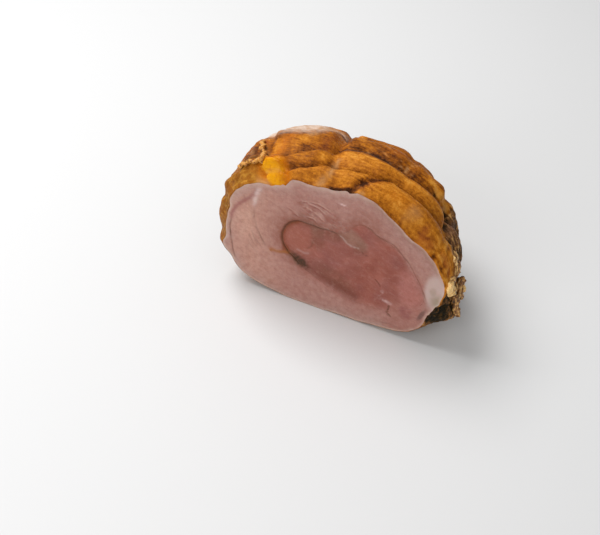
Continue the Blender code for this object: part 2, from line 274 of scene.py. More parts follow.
def pillow_place(angle, depth):
    """Which pillow of crust a point is on, how far across it (0 to 1), and how wide it is there."""
    edges = [np.zeros_like(depth)] + [ring_depth(i, angle) for i in range(len(RINGS))]
    edges = np.stack(edges + [np.full_like(depth, LENGTH)])
    pillow = sum((depth > edge).astype(int) for edge in edges[1:-1])
    start = np.take_along_axis(edges, pillow[None], 0)[0]
    end = np.take_along_axis(edges, pillow[None] + 1, 0)[0]
    return pillow, np.clip((depth - start) / (end - start), 0.0, 1.0), end - start


def along_crust(angle, degrees):
    turn = (angle - np.radians(degrees) + math.pi) % (2 * math.pi) - math.pi
    return turn * HALF_WIDTH


def string_distance(string, angle, depth):
    """How far each place is from a string, and how deep the string bites there."""
    start, end, at_cut, behind = string[:4]
    share = smooth_step(depth / STRING_DEEPENS)
    place = mix(start, end, share) + STRING_SWAY * np.sin(STRING_SWAY_RATE * depth + start)
    return along_crust(angle, place), mix(at_cut, behind, share)


def degrees_of(angle):
    """Degrees round the section, with the cut in the count on the hidden underside."""
    return (np.degrees(angle) + 90) % 360 - 90


def nearest_on_line(here, points):
    """How far each place is from a line through the points, and how far along it that is (0 to 1)."""
    steps = np.linalg.norm(np.diff(points, axis=0), axis=1)
    travelled = np.concatenate([[0], np.cumsum(steps)]) / steps.sum()
    nearest, along = np.full(len(here), 1e9), np.zeros(len(here))
    for i in range(len(steps)):
        towards = points[i + 1] - points[i]
        part = np.clip((here - points[i]) @ towards / (towards @ towards), 0, 1)
        distance = np.linalg.norm(here - points[i] - part[:, None] * towards, axis=1)
        nearer = distance < nearest
        nearest = np.where(nearer, distance, nearest)
        along = np.where(nearer, mix(travelled[i], travelled[i + 1], part), along)
    return nearest, along


def crust_line(angle, depth, points):
    """The same for a line on the crust, with its points in degrees round and millimetres deep."""
    points = np.array([(math.radians(degrees) * HALF_WIDTH, behind) for degrees, behind in points])
    return nearest_on_line(np.stack([np.radians(degrees_of(angle)) * HALF_WIDTH, depth], -1), points)


# %% How far the marks sink in and the swellings stand out
def ring_bite(angle):
    """How deep the rings bite: fully, except on the left, where the net was slack."""
    return 1 - SLACK_BITE * between(degrees_of(angle), *SLACK_BITE_SPAN)


def underside(angle):
    """1 on the flat underside, and 0 from the sides up."""
    return smooth_step((-np.sin(angle) - UNDER_START) / (UNDER_END - UNDER_START))


def fat_height(angle, depth):
    """How high the lumps of set fat stand: round domes that meet in creases."""
    height = np.zeros_like(depth)
    for degrees, middle, radius_round, radius_along, top in FAT_LUMPS:
        distance = np.hypot(along_crust(angle, degrees) / radius_round, (depth - middle) / radius_along)
        height = np.maximum(height, top * np.sqrt(np.clip(1 - distance ** 2, 0, 1)))
    return height


def net_relief(angle, depth):
    """How far the net's marks, the fold, the swellings, the fat and the rim stand out or sink in."""
    _, place, width = pillow_place(angle, depth)
    swell = np.abs(np.sin(math.pi * place ** CREST_PLACE)) ** PILLOW_FULLNESS
    groove = RING_GROOVE - np.minimum(RING_GROOVE, PILLOW_SHARE * width) * swell
    relief = -groove * ring_bite(angle)
    distance, along = crust_line(angle, depth, FOLD)
    relief -= FOLD_DEPTH * bell(distance, FOLD_WIDTH) * mix(1.0, FOLD_END_SHARE, along)
    for string in STRINGS:
        distance, groove = string_distance(string, angle, depth)
        relief -= groove * bell(distance, string[4])
    for degrees, middle, radius, height in SWELLINGS:
        distance = np.hypot(along_crust(angle, degrees), depth - middle)
        relief += height * bell(distance, radius)
    relief += fat_height(angle, depth)
    relief *= mix(1.0, UNDER_RELIEF, underside(angle))
    curl = np.interp(degrees_of(angle), *zip(*RIM_CURL))
    return relief + curl * (1 - smooth_step(depth / CURL_REACH))


# %% The body's surface
def noise_at(points, scale, octaves=1, seed=0):
    """Smooth noise from about -1 to 1, in patches as large as scale, at each point."""
    total, weight, reach = 0.0, 1.0, 0.0
    for octave in range(octaves):
        spots = points / scale * 2 ** octave + 7.3 * seed
        total = total + weight * np.array([noise.noise(spot) for spot in spots.tolist()])
        reach += weight
        weight *= 0.5
    return total / reach


def crust_point(angle, depth, extra=0.0):
    """Points on the crust, in millimetres from the cut's middle, with extra height if given."""
    across, up = unit_outline(angle, depth)
    rise = np.where(up > 0, RISE, DROP + FLAT_SINK)
    left_over = np.where(up > 0, round_off(depth, RISE_POWER), round_off(depth, DROP_POWER))
    fullness = round_off(depth, dome_power(angle))
    spots = np.stack([across * HALF_WIDTH, depth, up * rise], -1)
    relief = net_relief(angle, depth) + noise_at(spots, UNEVEN_SCALE) * UNEVEN_HEIGHT
    relief = (relief + extra) * np.minimum(1.0, fullness * RELIEF_FADE)
    x = -AXIS_SKEW * depth + (HALF_WIDTH * fullness + relief) * across
    z = DROP + (rise * left_over + relief) * up
    return np.stack([x, depth, np.maximum(z, 0.0)], -1)


probe = crust_point(np.radians([0.0, 90.0, 180.0]), np.array([10.0, 10.0, 10.0]))
print("section 10 mm behind the cut: right, top and left at", np.round(probe, 1).tolist())

# %% [markdown]
# ## The inner roll's outline
# The darker roll is heart-shaped at the cut: rounded on the left, with a dip at the top where the
# outer roll folds in. Its outline is a Catmull-Rom curve through a few radii round its own centre.
# It shrinks to about two thirds at the far end.

# %% Outline of the inner roll
CORE_CENTRE = np.array([18.0, 52.0])
# Degrees round the centre, and the radius there.
CORE_OUTLINE = ((8, 47.7), (25, 43.4), (42, 43.3), (56, 41.3), (70, 40.4), (79, 42.8), (86, 43.0),
                (93, 40.3), (101, 34.5), (110, 32.0), (120, 32.5), (134, 38.5), (142, 45.5),
                (149, 53.0), (158, 56.8), (170, 57.2), (180, 54.5), (190, 47.5), (204, 40.5),
                (222, 34.0), (246, 30.5), (270, 31.5), (294, 34.5), (316, 41.0), (330, 47.0),
                (350, 54.2))
CORE_BACK_SHARE = 0.62
SEAM_GAP = 0.08
core_radii = [radius for _, radius in CORE_OUTLINE]
print("inner roll: from", min(core_radii), "to", max(core_radii), "mm round its centre")


def core_radius(angle):
    """The outline's radius at each angle, on a smooth curve through the marks."""
    marks = np.array(CORE_OUTLINE, float)
    count = len(marks)
    degrees = np.degrees(angle) % 360
    after = np.searchsorted(marks[:, 0], degrees, side="right") % count
    a, b, c, d = (marks[(after + k) % count, 1] for k in (-2, -1, 0, 1))
    start, end = marks[(after - 1) % count, 0], marks[after, 0]
    t = ((degrees - start) % 360) / ((end - start) % 360)
    bend = 2 * a - 5 * b + 4 * c - d
    twist = 3 * (b - c) + d - a
    return b + 0.5 * t * (c - a + t * (bend + t * twist))


def seam_from_rim(rim):
    """The point of the inner roll's outline that lies in line with each point of the rim."""
    towards = rim[:, [0, 2]] - CORE_CENTRE
    radius = core_radius(np.arctan2(towards[:, 1], towards[:, 0]))
    flat = CORE_CENTRE + towards / np.linalg.norm(towards, axis=1)[:, None] * radius[:, None]
    return np.stack([flat[:, 0], np.zeros(len(flat)), flat[:, 1]], -1)


def back_share(seam, rim):
    """The inner roll's size at the far end, as a share of the way out to the crust."""
    middle = np.array([0.0, 0.0, DROP])
    reach = np.linalg.norm(rim - middle, axis=1)
    return CORE_BACK_SHARE * np.linalg.norm(seam - middle, axis=1) / reach


def dome_depth(share, angle):
    """How deep the far dome lies at a share of the way out from its tip."""
    power = dome_power(angle)
    return DOME_START + (LENGTH - DOME_START) * (1.0 - share ** power) ** (1.0 / power)


# %% [markdown]
# ## The crust's fine relief
# A closer look at a roasted crust shows several sizes of relief. Broad wrinkles follow the meat's
# fibres round the roast, and small blisters and pits cover them. The slack left side is lumpier,
# and the set fat is smooth. On the right the meat was torn and dried into crests that run round the
# roast, with a few deep hollows, and the strip next to the torn part has begun to dry like it.
#
# Each is a noise of its own size, held to its place by a mask. All of it is real geometry, and only
# the grain below half a millimetre is left to the material. The edge at the cut is rounded off a
# little, as a knife leaves it.

# %% Fine relief
WRINKLE, WRINKLE_SIZE, WRINKLE_STRETCH = 0.60, 3.2, 5.5
WRINKLE_FRONT, WRINKLE_BEHIND = 0.5, 1.3
BLISTER, BLISTER_SIZE = 0.42, 5.5
PIT, PIT_SIZE = 0.20, 2.2
SLACK_SPAN = (126, 8, 230, 30)
SLACK_BUMPS, SLACK_BUMP_SIZE, SLACK_BUMP_STRETCH = 1.3, 6.0, 0.6
CREASE_DEPTH, CREASE_WIDTH = 1.3, 1.5
SMOOTH_FAT_PLACE, SMOOTH_FAT_RADIUS, SMOOTH_FAT_SHARE = (121, 5), 9, 0.75
TORN, TORN_SCALE, TORN_STRETCH = 3.4, 6.0, 0.38
TORN_RAGGED, RAGGED_SIZE = 7.0, 9.0
DRYING, DRYING_SPAN, DRYING_DEPTH = 2.0, (-6, 10, 42, 12), 30
EDGE_ROUNDING = 0.7
UNDER_SMOOTHING = 0.8
HOLE_SQUASH = 0.8
# Each hollow's place (degrees, depth), its radius and how far it sinks in.
HOLES = (
    (33.0, 42.5, 4.2, 4.2),
    (32.5, 31.0, 3.4, 3.6),
    (45.5, 43, 2.2, 1.2),
    (8, 19, 3.4, 2.2),
    (-8, 6, 4.2, 1.4),
    (-18, 5, 4.0, 1.2),
)
# From which depth on the right side is torn, for a few degrees round the roast.
TORN_START = ((-90, 60), (-80, 3), (-45, 1), (-30, -1), (-6, -1), (3, 1), (10, 5), (16, 9), (21, 11),
              (26, 13), (29, 19), (31, 27), (32, 44), (34, 56), (38, 78), (44, 90), (60, 200))
TORN_END = 76

# %% The torn, the drying and the slack side
def hole_distance(angle, depth, degrees, middle):
    return np.hypot(along_crust(angle, degrees), (depth - middle) * HOLE_SQUASH)


def torn_side(angle, depth):
    """1 on the torn and dried right side of the roast, and 0 elsewhere, with ragged borders."""
    degrees = degrees_of(angle)
    spots = np.stack([np.radians(degrees) * HALF_WIDTH, depth, 0 * depth], -1)
    ragged = noise_at(spots, RAGGED_SIZE, 3, seed=6)
    ragged = ragged * smooth_step((depth - 26) / 12)
    start = np.interp(degrees + TORN_RAGGED * ragged, *zip(*TORN_START))
    side = smooth_step((degrees + 85) / 20) * smooth_step((depth - start + 2) / 4)
    return side * smooth_step((TORN_END - depth + 3 * TORN_RAGGED * ragged) / 22)


def torn_relief(spots):
    """Crests that run round the roast between hollows, from about -0.5 to 0.3, as dry meat tears."""
    return 0.3 - 1.4 * np.abs(noise_at(spots * [1.0, 1.0, TORN_STRETCH], TORN_SCALE, 3, seed=4))


def drying_side(angle, depth):
    """1 between the cut and the torn side, where the crust dries into strands."""
    strip = between(degrees_of(angle), *DRYING_SPAN) * smooth_step((DRYING_DEPTH - depth) / 10)
    return strip * (1 - torn_side(angle, depth))


def slack_side(angle):
    """1 on the left side, where the net was slack."""
    return between(degrees_of(angle), *SLACK_SPAN)


# %% All of the fine relief
def fine_relief(angle, depth):
    """How far the fine relief stands out or sinks in, in millimetres."""
    base = crust_point(angle, depth)
    arc = angle * HALF_WIDTH
    pillow, place, width = pillow_place(angle, depth)
    groove = np.minimum(place, 1 - place) * width
    fibres = np.stack([arc / WRINKLE_STRETCH, depth, base[:, 2] * 0], -1)
    fibres = noise_at(fibres, WRINKLE_SIZE, 2, seed=1)
    relief = WRINKLE * fibres * mix(WRINKLE_FRONT, WRINKLE_BEHIND, smooth_step((pillow - 1) / 1.0))
    relief += BLISTER * noise_at(base, BLISTER_SIZE, 2, seed=2)
    relief -= PIT * np.abs(noise_at(base, PIT_SIZE, 1, seed=3))
    lumps = noise_at(base * [1.0, 1.0, SLACK_BUMP_STRETCH], SLACK_BUMP_SIZE, 2, seed=5)
    relief += SLACK_BUMPS * lumps * slack_side(angle)
    relief -= CREASE_DEPTH * bell(groove, CREASE_WIDTH) * smooth_step(depth / 4) * ring_bite(angle)
    from_fat = np.hypot(along_crust(angle, SMOOTH_FAT_PLACE[0]), depth - SMOOTH_FAT_PLACE[1])
    relief *= 1 - SMOOTH_FAT_SHARE * bell(from_fat, SMOOTH_FAT_RADIUS)
    torn = torn_relief(base)
    relief += TORN * torn * torn_side(angle, depth) + DRYING * torn * drying_side(angle, depth)
    for degrees, middle, radius, sunk in HOLES:
        relief -= sunk * bell(hole_distance(angle, depth, degrees, middle), radius)
    relief *= smooth_step((depth + 1.5) / 4)
    near_cut = np.clip(1 - depth / EDGE_ROUNDING, 0, 1)
    rounding = EDGE_ROUNDING * (1 - np.sqrt(1 - near_cut ** 2))
    return relief * (1 - UNDER_SMOOTHING * underside(angle)) - rounding


def crust_surface(angle, depth):
    return crust_point(angle, depth, fine_relief(angle, depth))


# %% [markdown]
# ## Shaping a primitive
# A torus is a stack of rounds on closed loops, just what a thick shell with a hole through it needs.
# A ball does the same for a solid without a hole. So each big piece starts as one of the two. Then
# every point asks which round and which column it is in, and moves to its place in the roast.

# %% Helpers that shape a primitive
COLUMNS = 640


def shape_points(piece, points):
    """Moves a piece's points to places given in millimetres from the cut's middle."""
    piece.data.vertices.foreach_set("co", ((points + SHIFT) * MM).ravel())
    piece.data.update()


def tidy_piece(piece, smooth_degrees=50):
    """Outward faces and smooth shading, by operator."""
    bpy.ops.object.select_all(action="DESELECT")
    bpy.context.view_layer.objects.active = piece
    piece.select_set(True)
    bpy.ops.object.mode_set(mode="EDIT")
    bpy.ops.mesh.select_all(action="SELECT")
    bpy.ops.mesh.normals_make_consistent(inside=False)
    bpy.ops.object.mode_set(mode="OBJECT")
    bpy.ops.object.shade_smooth_by_angle(angle=math.radians(smooth_degrees))


def own_points(piece):
    flat = np.empty(len(piece.data.vertices) * 3, np.float32)
    piece.data.vertices.foreach_get("co", flat)
    return flat.reshape(-1, 3).astype(float)


def add_ring_primitive(name, rounds):
    """A torus, and for each of its points the column round it and the round across its tube."""
    bpy.ops.object.select_all(action="DESELECT")
    bpy.ops.mesh.primitive_torus_add(major_segments=COLUMNS, minor_segments=rounds,
                                     major_radius=1.0, minor_radius=0.3)
    piece = bpy.context.object
    piece.name = piece.data.name = name
    x, y, z = own_points(piece).T
    column = np.round(np.arctan2(y, x) / (2 * math.pi) * COLUMNS).astype(int) % COLUMNS
    turn = np.arctan2(z, np.hypot(x, y) - 1.0) / (2 * math.pi)
    return piece, column, np.round(turn * rounds).astype(int) % rounds


def add_ball_primitive(name, columns, rounds):
    """A ball, and for each point its column and its round: 0 at one pole and rounds + 1 at the other."""
    bpy.ops.object.select_all(action="DESELECT")
    bpy.ops.mesh.primitive_uv_sphere_add(segments=columns, ring_count=rounds + 1, radius=1.0)
    piece = bpy.context.object
    piece.name = piece.data.name = name
    x, y, z = own_points(piece).T
    column = np.round(np.arctan2(y, x) / (2 * math.pi) * columns).astype(int) % columns
    return piece, column, np.round(np.arccos(np.clip(z, -1, 1)) / math.pi * (rounds + 1)).astype(int)


def paint(piece, name, values):
    """Stores one number for each point, which a material can read by its name."""
    layer = piece.data.attributes.new(name, "FLOAT", "POINT")
    layer.data.foreach_set("value", np.asarray(values, np.float32))


# %% [markdown]
# ## The crust
# The crust is the roast's whole outside. Its loops run over the outside from the cut to the far
# end, back through the tunnel that holds the inner roll, and out again just behind the cut face,
# which is a piece of its own because it is a different finish.

# %% Crust
STRAIGHT_ROUNDS, DOME_ROUNDS, TUNNEL_ROUNDS = 36, 102, 3
EDGE_ROUNDS = (0, 0.12, 0.4)
FACE_THICKNESS = 1.0
BEHIND_FACE = FACE_THICKNESS + 0.2
HIDDEN_SHARES = (0.5, 0.95)

columns_angle = np.arange(COLUMNS) / COLUMNS * 2 * math.pi
rim = crust_surface(columns_angle, np.zeros(COLUMNS))
seam = seam_from_rim(rim)
mouth_share = back_share(seam, rim)
mouth_depth = dome_depth(mouth_share, columns_angle)


def crust_depths():
    """Depths of the outside rounds for every column: even steps, then even turns of the dome."""
    straight = np.linspace(EDGE_ROUNDING, DOME_START, STRAIGHT_ROUNDS, endpoint=False)
    straight = np.concatenate([np.array(EDGE_ROUNDS) * EDGE_ROUNDING, straight])[:, None]
    reach = np.arcsin((mouth_depth - DOME_START) / (LENGTH - DOME_START))
    turns = np.linspace(0, 1, DOME_ROUNDS)[:, None] * reach
    dome = DOME_START + (LENGTH - DOME_START) * np.sin(turns)
    return np.concatenate([straight + 0 * dome[:1], dome])


outside_depths = crust_depths()
outside = np.stack([crust_surface(columns_angle, depths) for depths in outside_depths])
tunnel = [mix(outside[-1], seam + [0, BEHIND_FACE, 0], i / TUNNEL_ROUNDS)
          for i in range(1, TUNNEL_ROUNDS + 1)]
hidden = [mix(seam, rim, share) + [0, BEHIND_FACE, 0] for share in HIDDEN_SHARES]
crust_rounds = np.concatenate([outside, tunnel, hidden])

crust, column, around = add_ring_primitive("crust", len(crust_rounds))
shape_points(crust, crust_rounds[around, column])
tidy_piece(crust, 80)
print("crust:", len(crust.data.polygons), "faces")

# %% [markdown]
# ## What the crust looks like where
# Cooks call it even browning, but it never is. The ridges are golden and the grooves dark brown,
# partly from the browning and partly as painted light on the ridges and painted shade in the
# grooves. Beside the seam it is reddish. Where fat ran out and set, a bulge is bright yellow. A flap
# at the back never browned and stayed pale. The right side dried to a dark olive brown. Each of
# these is a number for each point, and the crust's material turns the numbers into colours.

# %% Places on the crust's mesh
def right_of_seam(degrees):
    return smooth_step((95 - degrees) / 4)


def patches_at(spots):
    return noise_at(spots, 12, 2, seed=11)


def mottling_at(spots):
    return noise_at(spots, 4.2, 2, seed=12)


outside_count = len(outside_depths)
on_outside = around < outside_count
angle = columns_angle[column]
depth = np.where(on_outside, outside_depths[np.minimum(around, outside_count - 1), column], 0.0)
degrees = degrees_of(angle)
base = crust_rounds[around, column]
patchy, mottled = patches_at(base), mottling_at(base)


def stroke(points, radius):
    """A soft band along a line on the crust, given as degrees round and millimetres deep."""
    distance, _ = crust_line(angle, depth, points)
    return bell(distance + 0.5 * radius * mottled, radius)


# %% [markdown]
# ### Ridge and groove
# The browning follows the net, and painted light and shade follow it too. On each pillow it starts
# dark in the groove, where shade is painted, turns golden over the crest, where light is painted, and
# ends in painted shade again. The two halves differ: on the right the second ridge is the most golden
# and the third is brown all over. On the slack left side it follows the angle instead.

# %% Tone of the browning
# For each pillow, the tone at a few places across it, from 0 (dark brown) to 1 (golden), with
# painted shade in the grooves and painted light over the crests.
TONES_AND_SHADING_RIGHT = (
    ((0, 0.46), (0.12, 0.56), (0.50, 0.62), (0.72, 0.62), (0.84, 0.46), (0.93, 0.30), (1, 0.16)),
    ((0, 0.30), (0.08, 0.44), (0.25, 0.56), (0.42, 0.70), (0.54, 0.84), (0.62, 0.68), (0.72, 0.38),
     (0.84, 0.22), (1, 0.12)),
    ((0, 0.22), (0.15, 0.28), (0.35, 0.34), (0.55, 0.40), (0.80, 0.42), (1, 0.22)),
    ((0, 0.20), (0.30, 0.44), (0.70, 0.48), (1, 0.20)),
    ((0, 0.20), (0.50, 0.46), (1, 0.35)),
)
TONES_AND_SHADING_LEFT = (
    ((0, 0.42), (0.20, 0.54), (0.60, 0.58), (0.80, 0.36), (1, 0.12)),
    ((0, 0.10), (0.12, 0.26), (0.34, 0.54), (0.50, 0.56), (0.70, 0.38), (0.90, 0.20), (1, 0.12)),
    ((0, 0.14), (0.25, 0.36), (0.60, 0.38), (1, 0.34)),
    ((0, 0.30), (0.40, 0.50), (1, 0.30)),
    ((0, 0.30), (0.50, 0.46), (1, 0.35)),
)


SLACK_DEGREES, SLACK_TONES = (130, 150, 175), (0.40, 0.38, 0.12)
SEAM_SHADE, SEAM_SHADE_WIDTH = 0.05, 2.6


def tone_of(tables, pillow, place):
    tones = np.zeros_like(place)
    for number, table in enumerate(tables):
        tones = np.where(pillow == number, np.interp(place, *zip(*table)), tones)
    return tones


def browning_and_shading(angle, depth, spots):
    """How golden the plain crust is at each place, from 0 (dark brown) to 1, with painted light on the
    ridges and painted shade in the grooves.
    """
    pillow, place, _ = pillow_place(angle, depth)
    degrees = degrees_of(angle)
    left, right = (tone_of(tables, pillow, place) for tables in (TONES_AND_SHADING_LEFT, TONES_AND_SHADING_RIGHT))
    tone = mix(left, right, right_of_seam(degrees))
    patches = patches_at(spots)
    slack_tone = np.interp(degrees, SLACK_DEGREES, SLACK_TONES) + 0.30 * patches
    tone = mix(tone, slack_tone, 0.85 * slack_side(angle))
    tone += 0.18 * patches + 0.14 * mottling_at(spots)
    along_seam = string_distance(STRINGS[0], angle, depth)[0]
    return tone - SEAM_SHADE * bell(along_seam, SEAM_SHADE_WIDTH) * smooth_step((depth - 25) / 20)


tone = browning_and_shading(angle, depth, base)
print("browning: tone from", tone.min().round(2), "to", tone.max().round(2))

# %% [markdown]
# ### Stains, fat, burnt spots and painted shadow
# What is not plain browning is put on in strokes, as a painter would. Melted fat set as a bright
# yellow bulge, with a paler run above it. Thin dark lines are painted shadow where a fold overhangs,
# beside the chain of knots and under the ridge that overhangs the rim. A flap on top never browned.
# The right side carries dry, beige strands, with painted shade in the dark hollows between them and
# one painted glint.

# %% Dark and light strokes
# Each stroke is a line (degrees round, depth) with a radius in millimetres and an amount.
# Many dark strokes are painted shadow: under the fold, under the ridge over the rim, beside the chain of
# knots and in the grooves behind the second ridge. The rest are dark stains.
DARK_AND_SHADOW_STROKES = (
    (FOLD, 2.4, 0.62),
    (((93, 0.2), (88, 0.4), (84, 0.2)), 1.0, 0.60),
    (((138, 12.5), (134, 13), (131.5, 13), (129.5, 16.5)), 1.2, 0.60),
    (((46, 5), (42, 3), (40.5, 5.5)), 1.8, 0.30),
    (((37, 2.5), (32, 5)), 1.3, 0.30),
    (((33, 7), (24, 8), (18, 7)), 1.3, 0.30),
    (((106, 30), (103, 42), (101, 54)), 1.6, 0.20),
    (((128.5, 24), (127.5, 33)), 1.2, 0.25),
    (((138, 14), (136, 20), (137, 27)), 4.5, 0.36),
    (((94, 36), (84, 38.5), (78, 38), (68, 36)), 2.8, 0.42),
    (((95, 43), (84, 46), (74, 43), (66, 42)), 3.2, 0.18),
    (((92, 53), (84, 54), (76, 53), (68, 50)), 3.0, 0.18),
    (((82, 30), (72, 31), (64, 30)), 2.6, 0.16),
    (((102, 28), (110, 31), (117, 34)), 2.2, 0.06),
    (((105, 18), (112, 19), (118, 20)), 2.2, 0.08),
    (((122, 12), (114, 10)), 2.6, 0.35),
    (((94, 53), (94, 64), (95, 78)), 2.0, 0.25),
    (((33, 1), (26, 3), (16, 3)), 1.4, 0.25),
)
LIGHT_STROKES = (
    (((88, 55), (84, 51)), 4.5, 0.34),
    (((93, 80), (91, 68)), 5.0, 0.34),
    (((51, 49), (46.5, 47), (42, 47.5), (38, 51.5), (35.5, 50), (33.5, 47)), 2.8, 0.66),
    (((101, 13), (100.5, 30), (100, 45), (99, 60)), 2.8, 0.26),
    (((66, 4.5), (54, 5), (42, 5)), 2.8, 0.16),
    (((78, 19), (66, 19), (52, 18)), 3.0, 0.16),
    (((27, 1.2), (20, 1.5), (13, 2)), 2.2, 0.34),
    (((42, 1), (36, 1.5)), 2.2, 0.20),
    (((96, 37), (92, 43), (95, 47)), 3.0, 0.24),
    (((140, 3), (134, 5), (130, 5)), 3.0, 0.25),
    (((80, 53), (66, 54)), 1.8, 0.12),
    (((117.5, 24), (115, 34), (113, 42)), 3.2, 0.25),
    (((127, 17), (124.5, 22), (123.5, 29)), 4.4, 0.50),
    (((118, 18), (115, 22)), 2.6, 0.20),
    (((113, 37), (107, 36)), 4.0, 0.16),
    (((45, 42), (39, 49)), 3.0, 0.28),
)

# %% Coloured strokes
YELLOW_STROKES = (
    (((127, 5), (117, 5)), 4.8, 0.9),
    (((126.5, 1), (117, 1)), 3.6, 0.9),
    (((126, 9.5), (118.5, 10)), 4.0, 0.8),
    (((123, 12), (123, 21), (121.5, 27), (121, 32), (119, 38)), 3.2, 0.70),
    (((66, 8), (60, 9)), 5.0, 0.30),
    (((36, 0.2), (24, 0.2)), 1.2, 0.30),
)
RED_STROKES = (
    (((131, 33.5), (134, 35)), 2.2, 0.90),
    (((140, 24), (150, 34)), 8.0, 0.35),
    (((45, 6), (42.5, 2.5), (37, 3)), 2.6, 0.50),
    (((30, 5.5), (22, 6.0), (17, 5.0)), 1.8, 0.45),
    (((104, 34), (101, 52)), 5.0, 0.30),
    (((72, 56), (62, 66)), 5.0, 0.35),
)
BEIGE_AND_GLINT_STROKES = (
    (((94, 25), (95, 20), (94.3, 9), (95, 5.5)), 1.5, 0.55),
    (((100, 0.5), (97, 2.5)), 2.0, 0.50),
    (((79, 0.3), (77.5, 0.8)), 1.5, 0.40),
    (((55, 7), (53, 8)), 3.5, 0.35),
    (((137, 24), (138.5, 26)), 2.2, 0.40),
    (((112, 44.5), (110, 48)), 2.2, 0.50),
    (((132, 0.4), (127.5, 0.4)), 1.5, 0.60),
    (((126.6, 4.0), (122.6, 3.7), (119, 4.0)), 0.6, 0.24),
    (((63, 48), (63.5, 43.5)), 0.9, 0.60),
    (((61.5, 52), (60.5, 54)), 0.8, 0.60),
    (((54.5, 35), (51.5, 36.5)), 0.8, 0.50),
    (((36, 48.5), (35, 45.5)), 1.3, 0.70),
    (((27, 14), (22, 14), (17, 17)), 1.2, 0.80),
    (((24, 20), (19, 21), (14, 26)), 1.4, 0.80),
    (((16, 11), (12, 14), (11, 19)), 1.2, 0.60),
    (((131.5, 28), (128.5, 13)), 1.6, 0.60),
    # A painted glint.
    (((29, 31.4), (28.7, 31)), 0.6, 0.95),
)
PURPLE_STROKES = (
    (((30, 30), (27, 38), (25, 48)), 4.0, 0.80),
    (((26, 24), (23, 34)), 2.5, 0.50),
    (((32, 36.5), (29, 37)), 1.2, 0.80),
)
# Painted shadow on the torn side, most of it below and between the crags.
SHADE_STROKES = (
    (((1, 6.5), (-8, 6), (-18, 5), (-28, 4)), 5.5, 0.34),
    (((-10, 1), (-30, 1)), 3.0, 0.20),
    (((12, 27), (8, 20)), 3.5, 0.26),
    (((17, 34), (22, 44)), 4.0, 0.20),
    (((28, 42), (26, 47)), 3.0, 0.20),
)

# %% All strokes on the crust
GOLDEN_SPAN, GOLDEN_DEPTH = (127, 8, 210, 30), 21
DRYING_SHADING = 1.30


def all_strokes(strokes):
    return sum(amount * stroke(points, radius) for points, radius, amount in strokes)


# The dark strokes add painted shadow as well as stains.
tone += all_strokes(LIGHT_STROKES) - all_strokes(DARK_AND_SHADOW_STROKES)
# Painted light on the drying strip's crests and painted shade in its hollows, following its relief.
tone += DRYING_SHADING * (torn_relief(base) + 0.10) * drying_side(angle, depth)
yellow = all_strokes(YELLOW_STROKES)
red = all_strokes(RED_STROKES)
# Dried beige strands and one painted glint.
beige = all_strokes(BEIGE_AND_GLINT_STROKES)
purple = all_strokes(PURPLE_STROKES)
golden = between(degrees, *GOLDEN_SPAN) * smooth_step((GOLDEN_DEPTH - depth) / 13)

# %% The pale flap
# Where the flap begins (degrees round, depth), and where it ends.
FLAP_EDGE = ((99.5, 95), (100.5, 76), (102.5, 62), (106, 55), (110, 50), (114, 47), (117.5, 43.5),
             (121.5, 42.5), (125, 42.5), (134, 44), (146, 50), (158, 66), (170, 95))
FLAP_END = 82

beyond_flap = depth - np.interp(degrees, *zip(*FLAP_EDGE), left=200, right=200) + 2.5 * mottled
pale = 0.60 * smooth_step((beyond_flap + 5) / 10) + 0.40 * smooth_step((beyond_flap - 5) / 5)
pale *= smooth_step((FLAP_END - depth + 3 * mottled + 3 * patchy) / 10)
tone -= 0.25 * bell(beyond_flap + 1.5, 1.2)

# %% The torn side, the set fat and the crumbs
TORN_TONE, TORN_SHADING = 0.47, 0.9
ORANGE_EDGE = 122.5
THIRD_PILLOW = 2

olive = torn_side(angle, depth)
# Painted light on the torn crests and painted shade in the hollows, following the relief.
torn = TORN_TONE + TORN_SHADING * torn_relief(base) + 0.15 * patchy - all_strokes(SHADE_STROKES)
# Each deep hollow is painted nearly black, as painted shade.
for hole_degrees, hole_depth, radius, _ in HOLES:
    distance = hole_distance(angle, depth, hole_degrees, hole_depth)
    inside = smooth_step((radius * (1.05 + 0.4 * mottled) - distance) / 1.6)
    olive = np.maximum(olive, inside)
    torn = np.minimum(torn, 1 - 0.92 * inside)
# The fat is orange on its right and further back; in the creases between its domes the orange is painted
# shade.
orange_fat_and_shade = smooth_step((ORANGE_EDGE - degrees + 3 * mottled) / 7)
orange_fat_and_shade = np.maximum(orange_fat_and_shade, smooth_step((depth - 8) / 4))
orange_fat_and_shade = np.maximum(orange_fat_and_shade, 1 - smooth_step((fat_height(angle, depth) - 0.6) / 2.2))
crumbs = 0.35 * smooth_step((noise_at(base, 3.4, 2, seed=14) - 0.30) / 0.12)
crumbs *= (pillow_place(angle, depth)[0] == THIRD_PILLOW) * right_of_seam(degrees)

marks = {"tone": tone, "yellow": yellow, "pale": pale, "red": red, "olive": olive, "torn": torn,
         "golden": golden, "beige": np.maximum(beige, crumbs), "purple": purple,
         "orange_fat_and_shade": orange_fat_and_shade}
for name, values in marks.items():
    paint(crust, name, np.clip(values, 0, 1) * on_outside)
paint(crust, "around", np.radians(degrees) * HALF_WIDTH)
paint(crust, "behind", depth)
print("painted", len(angle), "points of the crust")

# %% [markdown]
# ## The cut face
# A knife leaves cold roast meat nearly flat. It drags a little at the seams between muscles, which
# sink in, and it tears the coarse bundles above the inner roll. Which muscle is where comes from a
# few soft regions and lines. Each line is a few points on the face with a width, bent a little by
# noise so that it looks grown and not drawn.

# %% Lines and regions on the face
LINE_BEND, LINE_BEND_SCALE = 0.6, 8.0
LINE_END_SHARE = 0.15


def window(value, start, end, soft=8):
    """1 between start and end, with soft ends."""
    return smooth_step((value - start) / soft + 0.5) * smooth_step((end - value) / soft + 0.5)


